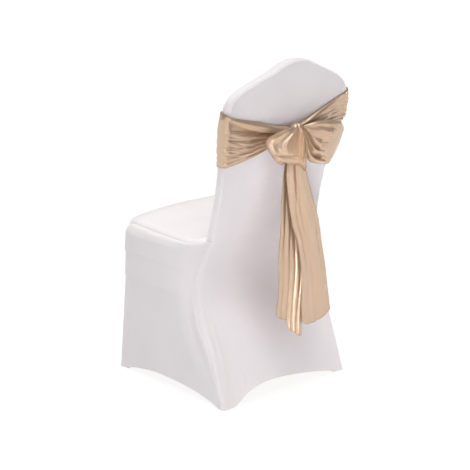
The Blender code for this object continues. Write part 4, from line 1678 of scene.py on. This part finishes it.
@dataclass(frozen=True)
class Knot:
    """The wrapped knot: a puffed turn of satin with slanting gathers.

    A gather's row holds its place across the knot, from -1 to 1, and how far it swells it. slant
    holds how the gathers' places shift with the height and with its square. waist holds how much
    the ends are drawn in, and over how far. Its humps have a height and a size.
    """

    name: str = "sash_knot_satin"
    node: str = "sash_knot"
    centre: Triple = (-0.012, 0.1445, 0.742)
    radii: Triple = (0.0215, 0.0148, 0.0182)
    slant: Pair = (0.45, -0.12)
    waist: Pair = (0.10, 0.05)
    humps: Pair = (0.02, 2.3)
    gathers: Table = (
        (-1.00, -0.02), (-0.62, -0.10), (-0.40, 0.05), (-0.12, -0.12),
        (0.10, 0.06), (0.38, -0.10), (0.60, 0.04), (1.00, -0.02),
    )

    def swell(self, place: Vector) -> float:
        """How much larger than a ball it is, in this direction.

        Args:
            place: the direction, as a point 1 away.

        Returns:
            A factor, about 1.
        """
        rise, bend = self.slant
        drawn_in, reach = self.waist
        height, pitch = self.humps
        across = place.x + rise * place.z + bend * place.z**2
        gathered = float(np.interp(across, *np.array(self.gathers).T))
        waist = 1 - drawn_in * math.exp(-((abs(place.x) - 1) ** 2) / reach)
        return (1 + gathered + height * noise.noise(place * pitch)) * waist

    def build(self, satin: Satin) -> None:
        """Makes the knot in its satin.

        Args:
            satin: its finish.
        """
        solid = bmesh.new()
        bmesh.ops.create_uvsphere(solid, u_segments=120, v_segments=64, radius=1.0)
        for vert in solid.verts:
            vert.co = vert.co * self.swell(vert.co)
        bmesh.ops.smooth_vert(
            solid, verts=solid.verts, factor=0.5, use_axis_x=True, use_axis_y=True, use_axis_z=True
        )
        place, radii = Vector(to_frame(np.array(self.centre))), Vector(self.radii)
        for vert in solid.verts:
            vert.co = place + vert.co * radii
        mesh = bpy.data.meshes.new(self.name)
        solid.to_mesh(mesh)
        solid.free()
        mesh.uv_layers.new(name=UV_MAP)
        corners = np.empty(len(mesh.loops), np.int32)
        mesh.loops.foreach_get("vertex_index", corners)
        points = np.empty(len(mesh.vertices) * 3, np.float32)
        mesh.vertices.foreach_get("co", points)
        points = points.reshape(-1, 3)[corners]
        mesh.uv_layers[UV_MAP].data.foreach_set("uv", points[:, (0, 2)].ravel())
        mesh.shade_smooth()
        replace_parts(dress(bpy.data.objects.new(self.name, mesh), satin), self.node)


@dataclass(frozen=True)
class Sash:
    """The satin sash: its band, its knot, its bow's loops and its two hanging ends."""

    satin: Satin = Satin()
    # The rolled hems are real, but their thread is painted darker than the satin: painted shade that
    # draws the sash's edges as thin dark outlines.
    thread: Thread = Thread((0.40, 0.27, 0.16), (0.28, 0.18, 0.10), "champagne_satin")
    thickness: float = 0.0005
    roll: float = 0.0008
    band: Band = Band(
        left=BandSide(
            rows=(
                (0.0, 0.73, 0.752, 0.0095), (0.05, 0.704, 0.762, 0.008),
                (0.09, 0.685, 0.776, 0.007), (0.14, 0.671, 0.789, 0.005),
                (0.18, 0.667, 0.803, 0.003), (0.205, 0.667, 0.814, 0.0),
            ),
            pleats=(
                ((0, 0.08, 2.5), (0.3, 0.06, 2.5), (0.6, 0.05, 1.8), (1, 0.05, 1.0)),
                ((0, 0.15, -1.5), (0.3, 0.13, -2.0), (0.6, 0.11, -1.6), (1, 0.1, -0.6)),
                ((0, 0.24, 3.0), (0.3, 0.22, 3.4), (0.6, 0.19, 2.6), (0.8, 0.16, 1.8),
                 (1, 0.13, 0.8)),
                ((0, 0.3, -1.5), (0.3, 0.28, -2.6), (0.6, 0.25, -2.0), (1, 0.2, -0.6)),
                ((0, 0.36, 3.0), (0.3, 0.34, 2.8), (0.6, 0.32, 2.4), (1, 0.28, 1.4)),
                ((0, 0.42, -1.5), (0.3, 0.4, -2.0), (0.6, 0.39, -1.6), (1, 0.38, -0.6)),
                ((0, 0.48, 3.2), (0.3, 0.46, 3.0), (0.6, 0.46, 2.2), (1, 0.46, 1.4)),
                ((0, 0.54, -1.5), (0.3, 0.52, -2.0), (0.6, 0.53, -1.6), (1, 0.56, -0.6)),
                ((0, 0.6, 3.0), (0.3, 0.58, 3.4), (0.6, 0.61, 2.4), (1, 0.66, 1.4)),
                ((0, 0.66, -3.0), (0.2, 0.66, -5.5), (0.4, 0.67, -5.5), (0.7, 0.75, -3.5),
                 (1, 0.86, -0.5)),
                ((0, 0.75, -4.5), (0.2, 0.735, -9.0), (0.4, 0.745, -8.0), (0.7, 0.83, -5.0),
                 (1, 0.94, -0.3)),
                ((0, 0.79, 4.0), (0.2, 0.765, 6.5), (0.4, 0.775, 6.0), (0.7, 0.86, 4.0),
                 (1, 0.965, 0.6)),
                ((0, 0.9, 4.0), (0.2, 0.88, 5.0), (0.4, 0.88, 4.5), (0.7, 0.93, 3.0), (1, 0.98, 0.6)),
            ),
        ),
        right=BandSide(
            rows=(
                (0.024, 0.73, 0.75, 0.01), (0.07, 0.708, 0.764, 0.008), (0.114, 0.69, 0.782, 0.007),
                (0.147, 0.678, 0.796, 0.005), (0.179, 0.672, 0.811, 0.003),
                (0.205, 0.668, 0.826, 0.0),
            ),
            pleats=(
                ((0, 0.1, 3.0), (0.3, 0.08, 2.2), (1, 0.06, 0.8)),
                ((0, 0.2, -1.5), (0.3, 0.17, -2.0), (1, 0.14, -0.5)),
                ((0, 0.3, 3.2), (0.3, 0.26, 3.0), (0.6, 0.24, 2.4), (1, 0.22, 1.0)),
                ((0, 0.38, -1.5), (0.3, 0.34, -2.4), (1, 0.3, -0.8)),
                ((0, 0.46, 3.5), (0.3, 0.42, 3.4), (0.6, 0.38, 2.6), (1, 0.36, 1.2)),
                ((0, 0.54, -1.8), (0.3, 0.48, -3.0), (0.6, 0.44, -2.4), (1, 0.42, -1.2)),
                ((0, 0.61, 3.6), (0.3, 0.545, 3.6), (0.6, 0.49, 2.8), (1, 0.47, 1.8)),
                ((0, 0.68, -2.4), (0.3, 0.61, -6.0), (0.6, 0.545, -5.4), (1, 0.51, -3.4)),
                ((0, 0.72, 3.5), (0.3, 0.645, 6.4), (0.6, 0.575, 5.4), (1, 0.53, 3.6)),
                ((0, 0.8, 0.5), (0.3, 0.78, 0.5), (0.6, 0.75, 1.0), (1, 0.72, 1.0)),
                ((0, 0.9, 4.0), (0.3, 0.9, 3.6), (0.6, 0.92, 2.4), (1, 0.93, 1.0)),
            ),
        ),
    )
    knot: Knot = Knot()
    loops: tuple[Loop, ...] = (
        Loop(
            node="sash_loop_left",
            flat=(0.092, 0.240),
            crease=(3.0, 0.0070),
            lean=0.5,
            rows=(
                (0.004, 0.1566, 0.751, -0.016, 0.1611, 0.748, 0.0),
                (0.06, 0.165, 0.752, -0.004, 0.184, 0.732, 0.004),
                (0.114, 0.168, 0.735, 0.002, 0.2, 0.705, 0.006),
                (0.099, 0.174, 0.694, 0.01, 0.206, 0.676, 0.004),
                (0.068, 0.166, 0.668, -0.001, 0.194, 0.648, 0.008),
                (0.038, 0.15, 0.662, -0.01, 0.172, 0.64, 0.005),
                (0.036, 0.141, 0.69, -0.012, 0.156, 0.68, 0.0),
                (0.008, 0.145, 0.7215, -0.012, 0.148, 0.719, 0.0),
            ),
            pleats=(
                ((0, 0.1, 0.5), (1, 0.1, 3.0), (2, 0.08, 4.5), (3, 0.06, 3.0), (4, 0.06, 0),
                 (7, 0.1, 0)),
                ((0, 0.2, 0.0), (1, 0.2, -1.0), (2, 0.18, -1.5), (3, 0.17, -1), (4, 0.2, 0),
                 (7, 0.2, 0)),
                ((0, 0.33, 0.0), (1, 0.33, 2.2), (2, 0.31, 3.5), (3, 0.29, 1.0), (4, 0.3, 0),
                 (7, 0.3, 0)),
                ((0, 0.5, 0.0), (1, 0.5, 0.0), (2, 0.5, -0.6), (3, 0.5, 0.0), (4, 0.5, 0),
                 (7, 0.5, 0)),
                ((0, 0.74, 2.5), (1, 0.865, 8.0), (2, 0.855, 11), (2.6, 0.82, 10), (3, 0.785, 6.0),
                 (3.5, 0.74, 2), (4, 0.73, 0), (7, 0.73, 0)),
                ((0, 0.82, -2), (1, 0.915, -7), (2, 0.915, -11), (2.6, 0.885, -9), (3, 0.85, -4),
                 (3.5, 0.81, 0), (4, 0.81, 0), (7, 0.81, 0)),
                ((0, 0.92, 1), (1, 0.965, 4), (2, 0.972, 6), (3, 0.96, 6), (3.6, 0.95, 3),
                 (4.2, 0.95, 0), (7, 0.95, 0)),
            ),
        ),
        Loop(
            node="sash_loop_right",
            flat=(0.110, 0.310),
            crease=(3.6, 0.0010),
            lean=-0.5,
            rows=(
                (-0.0275, 0.1553, 0.752, -0.0248, 0.1568, 0.735, 0.0),
                (-0.066, 0.166, 0.758, -0.03, 0.168, 0.664, 0.004),
                (-0.118, 0.166, 0.754, -0.07, 0.176, 0.646, 0.008),
                (-0.158, 0.16, 0.74, -0.102, 0.172, 0.641, 0.006),
                (-0.178, 0.147, 0.723, -0.12, 0.152, 0.646, 0.008),
                (-0.16, 0.137, 0.73, -0.116, 0.134, 0.656, 0.002),
                (-0.095, 0.137, 0.746, -0.08, 0.13, 0.69, 0.0),
                (-0.0365, 0.1435, 0.75, -0.0365, 0.1435, 0.736, 0.0),
            ),
            pleats=(
                ((0, 0.1, 2), (0.9, 0.08, 2.5), (1.7, 0.06, 2), (2.5, 0.06, 1), (4, 0.08, 0),
                 (7, 0.08, 0)),
                ((0, 0.18, -1), (0.9, 0.17, -2), (1.4, 0.16, -3), (1.8, 0.19, -1.5), (2.5, 0.2, 0),
                 (7, 0.2, 0)),
                ((0, 0.23, 2), (0.9, 0.28, 2.5), (1.4, 0.26, 2.5), (1.8, 0.33, 3.5),
                 (2.5, 0.4, 1.5), (4, 0.4, 0), (7, 0.4, 0)),
                ((0, 0.27, 0), (0.9, 0.41, -1), (1.4, 0.44, -1.5), (1.8, 0.5, -0.5), (2.5, 0.55, 0),
                 (7, 0.55, 0)),
                ((0, 0.3, 3), (0.5, 0.4, 5.5), (0.8, 0.49, 8), (1.1, 0.56, 10), (1.4, 0.64, 8),
                 (1.6, 0.7, 3), (1.8, 0.71, 0), (7, 0.71, 0)),
                ((0, 0.38, -2), (0.5, 0.53, -6), (0.8, 0.625, -10), (1.1, 0.68, -12),
                 (1.4, 0.715, -9), (1.6, 0.73, 0), (1.9, 0.74, 0), (7, 0.74, 0)),
                ((0, 0.46, 2.5), (0.5, 0.62, 7), (0.8, 0.715, 10), (1.1, 0.775, 12),
                 (1.4, 0.79, 11), (1.65, 0.775, 6), (1.9, 0.77, 1.5), (2.2, 0.77, 0), (7, 0.77, 0)),
                ((0, 0.56, 0), (0.7, 0.75, 0), (1.0, 0.83, -2), (1.3, 0.865, -6), (1.6, 0.885, -10),
                 (1.9, 0.9, -10), (2.1, 0.905, 0), (2.4, 0.91, 0), (7, 0.91, 0)),
                ((0, 0.72, 1), (0.8, 0.9, 5), (1.1, 0.93, 8), (1.5, 0.955, 10), (1.9, 0.965, 10),
                 (2.15, 0.945, 6), (2.4, 0.94, 0.5), (7, 0.94, 0)),
            ),
        ),
    )
    tails: tuple[Tail, ...] = (
        Tail(
            node="sash_tail_left",
            flat=(0.100, 0.550),
            dent=(-1.0, 0.50),
            rows=(
                (0.728, 0.004, -0.018, 0.133), (0.7, 0.012, -0.021, 0.129),
                (0.646, 0.018, -0.026, 0.13), (0.609, 0.0255, -0.029, 0.131),
                (0.555, 0.03, -0.032, 0.131), (0.473, 0.0345, -0.036, 0.13),
                (0.391, 0.0395, -0.04, 0.128), (0.308, 0.044, -0.041, 0.129),
                (0.246, 0.049, -0.037, 0.13), (0.16, 0.052, -0.03, 0.131),
            ),
            cut=(
                (0.0, 0.238), (0.03, 0.229), (0.09, 0.2255), (0.44, 0.2135), (0.465, 0.206),
                (0.49, 0.188), (0.6, 0.18), (0.86, 0.165), (0.97, 0.164), (1.0, 0.172),
            ),
            pleats=(
                ((0, 0.08, 1.0), (0.5, 0.06, 1.0), (1, 0.06, 1.6)),
                ((0, 0.24, -0.4), (0.5, 0.24, -0.8), (1, 0.22, -1.2)),
                ((0, 0.4, 1.5), (0.5, 0.4, 2.6), (1, 0.36, 1.5)),
                ((0, 0.52, -0.5), (0.4, 0.52, 0.0), (0.6, 0.5, 0.0), (0.8, 0.46, -1.8),
                 (1, 0.46, -3.5)),
                ((0, 0.6, 0.6), (0.4, 0.62, 1.4), (0.6, 0.62, 3.0), (0.8, 0.56, 5.0), (1, 0.53, 5.0)),
                ((0, 0.66, 0.4), (0.4, 0.7, 1.2), (0.6, 0.7, 3.5), (0.8, 0.63, 2.5), (1, 0.6, 1.0)),
                ((0, 0.76, 1.6), (0.4, 0.8, 4.2), (0.6, 0.79, 8.0), (0.8, 0.73, 9.5), (1, 0.69, 9.0)),
                ((0, 0.84, 0.5), (0.4, 0.86, 4.0), (0.6, 0.86, 8.0), (0.8, 0.81, 7.5),
                 (1, 0.77, 4.5)),
                ((0, 0.9, 1.0), (0.4, 0.93, 5.5), (0.6, 0.92, 11.0), (0.8, 0.88, 13.0),
                 (1, 0.84, 11.5)),
                ((0, 0.97, 1.0), (0.4, 0.97, 5.0), (0.6, 0.97, 10.0), (0.8, 0.96, 12.0),
                 (1, 0.95, 11.0)),
            ),
        ),
        Tail(
            node="sash_tail_right",
            flat=(0.100, 0.540),
            dent=(0.55, 0.80),
            rows=(
                (0.7236, 0.0, -0.026, 0.14), (0.632, 0.022, -0.045, 0.143),
                (0.56, 0.017, -0.065, 0.145), (0.485, 0.006, -0.087, 0.146),
                (0.44, -0.01, -0.096, 0.146), (0.376, -0.021, -0.106, 0.146),
                (0.3, -0.024, -0.117, 0.146), (0.242, -0.025, -0.128, 0.147),
                (0.19, -0.028, -0.136, 0.148),
            ),
            cut=(
                (0.0, 0.206), (0.04, 0.1985), (0.1, 0.1945), (0.22, 0.192), (0.4, 0.1925),
                (0.6, 0.1965), (0.8, 0.2035), (0.97, 0.2125), (1.0, 0.2155),
            ),
            pleats=(
                ((0, 0.3, 3.0), (0.19, 0.24, 5.5), (0.25, 0.21, 6.0), (0.355, 0.14, 5.5),
                 (0.42, 0.11, 4.6), (0.5, 0.09, 3.4), (0.6, 0.09, 2.2), (0.75, 0.1, 1.6),
                 (1, 0.12, 1.6)),
                ((0, 0.42, -2.5), (0.19, 0.38, -5.0), (0.25, 0.36, -5.0), (0.355, 0.28, -4.0),
                 (0.42, 0.26, -3.8), (0.5, 0.25, -3.4), (0.6, 0.25, -2.4), (0.75, 0.26, -1.4),
                 (1, 0.3, -1.8)),
                ((0, 0.5, 3.0), (0.19, 0.45, 5.0), (0.25, 0.43, 4.5), (0.355, 0.36, 1.0),
                 (0.42, 0.34, 0.0), (0.5, 0.34, -0.5), (0.6, 0.34, 0.0), (0.75, 0.36, 0.6),
                 (1, 0.4, 1.2)),
                ((0, 0.57, -2.5), (0.19, 0.54, -4.5), (0.25, 0.52, -4.0), (0.355, 0.45, -2.8),
                 (0.42, 0.43, -2.2), (0.5, 0.43, -1.8), (0.6, 0.44, -0.6), (0.75, 0.46, -0.6),
                 (1, 0.5, -1.0)),
                ((0, 0.76, 2.0), (0.19, 0.74, 3.2), (0.25, 0.72, 4.0), (0.355, 0.66, 5.0),
                 (0.42, 0.64, 6.0), (0.5, 0.66, 6.6), (0.6, 0.7, 6.0), (0.75, 0.7, 4.4),
                 (1, 0.7, 3.4)),
                ((0, 0.9, 0.0), (0.3, 0.9, 0.0), (0.5, 0.9, -1.5), (0.6, 0.88, -1.0), (1, 0.88, 0.0)),
            ),
        ),
    )

    def strip(
        self,
        node: str,
        grid: Array,
        flat: Pair,
        held: Held,
        edges: dict[str, Array],
        rests_on: tuple[str, ...],
    ) -> None:
        """Makes one formed stretch of the sash with its rolled hems.

        Args:
            node: the solid that it stands for.
            grid: its points.
            flat: its width and length when it lies flat.
            held: how it is held.
            edges: its rolled hems' paths by name.
            rests_on: what it lies on or hangs from.
        """
        hems = [
            rolled_hem(f"{node}_{name}", path, self.roll, self.thread)
            for name, path in edges.items()
        ]
        Cloth(
            f"{node}_satin", grid, self.satin, flat, held, (node,),
            thickness=self.thickness, offset=0.0, rests_on=rests_on,
        ).build(hems)

    def build(self, grids: dict[str, Array]) -> None:
        """Makes every piece of the sash, on the cover's grids.

        Args:
            grids: the cover's grids.
        """
        grid = self.band.grid(grids)
        on_cover = ("rear_panel_cloth", "edge_gusset_cloth", "inside_back_cloth")
        hems = {"low_hem": grid[:, 0], "high_hem": grid[:, -1]}
        self.strip("sash_band", grid, self.band.flat, Held.GATHERED, hems, on_cover)
        self.knot.build(self.satin)
        on_knot = (self.knot.name,)
        for loop in self.loops:
            grid = loop.grid()
            hems = {"inner_hem": grid[:, 0], "outer_hem": grid[:, -1]}
            self.strip(loop.node, grid, loop.flat, Held.FOLDED, hems, on_knot)
        for tail in self.tails:
            grid = tail.grid()
            hem = np.vstack([grid[::-1, 0], grid[0, 1:-1], grid[:, -1]])
            self.strip(tail.node, grid, tail.flat, Held.HUNG, {"rolled_hem": hem}, on_knot)


# ---------------------------------------------------------------------------------------------
# The studio


def hang(light: bpy.types.Light, place: Triple, aim: Vector, colour: Triple) -> None:
    """Hangs a light in the studio.

    Args:
        light: the light's data.
        place: where it hangs.
        aim: the way that it faces.
        colour: its colour.
    """
    light.color = colour
    lamp = bpy.data.objects.new(light.name, light)
    lamp.location = place
    lamp.rotation_mode = "QUATERNION"
    lamp.rotation_quaternion = aim.to_track_quat("-Z", "Y")
    bpy.context.scene.collection.objects.link(lamp)


@dataclass(frozen=True)
class Lamp:
    """A soft lamp: its place, its width and height, what it faces, and its beam in degrees."""

    name: str
    place: Triple
    size: Pair
    power: float
    colour: Triple
    target: Triple
    beam: float = 180.0

    def build(self) -> None:
        """Makes the lamp and hangs it."""
        light = bpy.data.lights.new(self.name, "AREA")
        light.shape = "RECTANGLE"
        light.size, light.size_y = self.size
        light.energy = self.power
        light.spread = math.radians(self.beam)
        hang(light, self.place, Vector(self.target) - Vector(self.place), self.colour)


@dataclass(frozen=True)
class Sun:
    """A distant soft light: the way towards it, its strength, and how many degrees wide it is."""

    name: str
    towards: Triple
    strength: float
    breadth: float
    colour: Triple

    def build(self) -> None:
        """Makes the light and hangs it."""
        light = bpy.data.lights.new(self.name, "SUN")
        light.energy = self.strength
        light.angle = math.radians(self.breadth)
        hang(light, (0.0, 0.0, 0.0), -Vector(self.towards), self.colour)


@dataclass(frozen=True)
class Studio:
    """A pale floor, soft light and the camera, which stands behind the chair on its left."""

    azimuth: float = math.radians(140.1295)
    elevation: float = math.radians(16.7729)
    roll: float = math.radians(1.1772)
    distance: float = 4.14808
    target: Triple = (0.08379, 0.0, 0.44215)
    focal_length: float = 117.433
    sensor_width: float = 36.0
    room: Triple = (0.97, 0.94, 1.0)
    room_strength: float = 0.16
    floor_gap: float = 0.0005
    lights: tuple[Sun | Lamp, ...] = (
        Sun("skylight", (0.0, -0.1, 1.0), 2.4, 60, (1.0, 0.99, 0.97)),
        Sun("window", (0.30, 0.36, 1.0), 1.15, 70, (1.0, 0.985, 0.955)),
        Lamp("strip_left", (2.2, 1.2, -0.5), (0.15, 1.5), 1.2, (1.0, 0.97, 0.93), (0, 0.1, -0.4)),
        Lamp("strip_right", (1.1, 2.3, -0.3), (0.12, 1.4), 2.2, (1.0, 0.97, 0.93), (0, 0.1, -0.4)),
        Lamp("back_glow", (-0.8, 2.9, 0.4), (1.5, 1.0), 7.0, (1.0, 0.98, 0.97), (0, 0.1, -0.25)),
        Lamp(
            "low_fill", (1.7, 1.6, -0.6), (0.6, 0.6), 0.38, (1.0, 0.96, 0.98),
            (0.02, 0.1, -0.57), 17,
        ),
        Lamp(
            "bow_glow", (1.6, 2.0, 0.9), (0.1, 0.1), 0.058, (0.79, 0.89, 1.0),
            (0.055, 0.03, -0.25), 5,
        ),
    )

    def floor(self) -> None:
        """A wide floor under the cover."""
        plane = bmesh.new()
        level = Matrix.Translation((0, 0, CAD_BOX[0].z - self.floor_gap))
        bmesh.ops.create_grid(plane, x_segments=8, y_segments=8, size=40, matrix=level)
        mesh = bpy.data.meshes.new("studio_floor")
        plane.to_mesh(mesh)
        plane.free()
        mesh.materials.append(Paper().material("pale_floor"))
        ground = bpy.data.objects.new("studio_floor", mesh)
        bpy.context.scene.collection.objects.link(ground)

    def camera(self) -> None:
        """A long lens behind the chair, on the sitter's left."""
        lens = bpy.data.cameras.new("camera")
        lens.lens = self.focal_length
        lens.sensor_width = self.sensor_width
        lens.clip_start, lens.clip_end = 0.1, 200
        a, e = self.azimuth, self.elevation
        back = Vector((math.sin(a) * math.cos(e), -math.cos(a) * math.cos(e), math.sin(e)))
        right = Vector((math.cos(a), math.sin(a), 0))
        up = back.cross(right)
        turn = Matrix((right, up, back)).transposed() @ Matrix.Rotation(-self.roll, 3, "Z")
        target = Vector(to_frame(np.array(self.target)))
        viewer = bpy.data.objects.new("camera", lens)
        viewer.matrix_world = Matrix.Translation(target + back * self.distance) @ turn.to_4x4()
        bpy.context.scene.collection.objects.link(viewer)
        bpy.context.scene.camera = viewer

    def build(self) -> None:
        """Sets up the floor, the camera and the light."""
        self.floor()
        self.camera()
        for light in self.lights:
            light.build()
        world = bpy.data.worlds.new("soft_room")
        world.use_nodes = True
        sky = world.node_tree.nodes["Background"]
        sky.inputs["Color"].default_value = (*self.room, 1.0)
        sky.inputs["Strength"].default_value = self.room_strength
        bpy.context.scene.world = world
        bpy.context.scene.view_settings.view_transform = "Standard"


def main() -> None:
    """Builds the cover, the sash and the studio."""
    logging.basicConfig(level=logging.INFO, format="%(name)s: %(message)s")
    grids = Cover().build()
    Sash().build(grids)
    Studio().build()


if __name__ == "__main__":
    main()
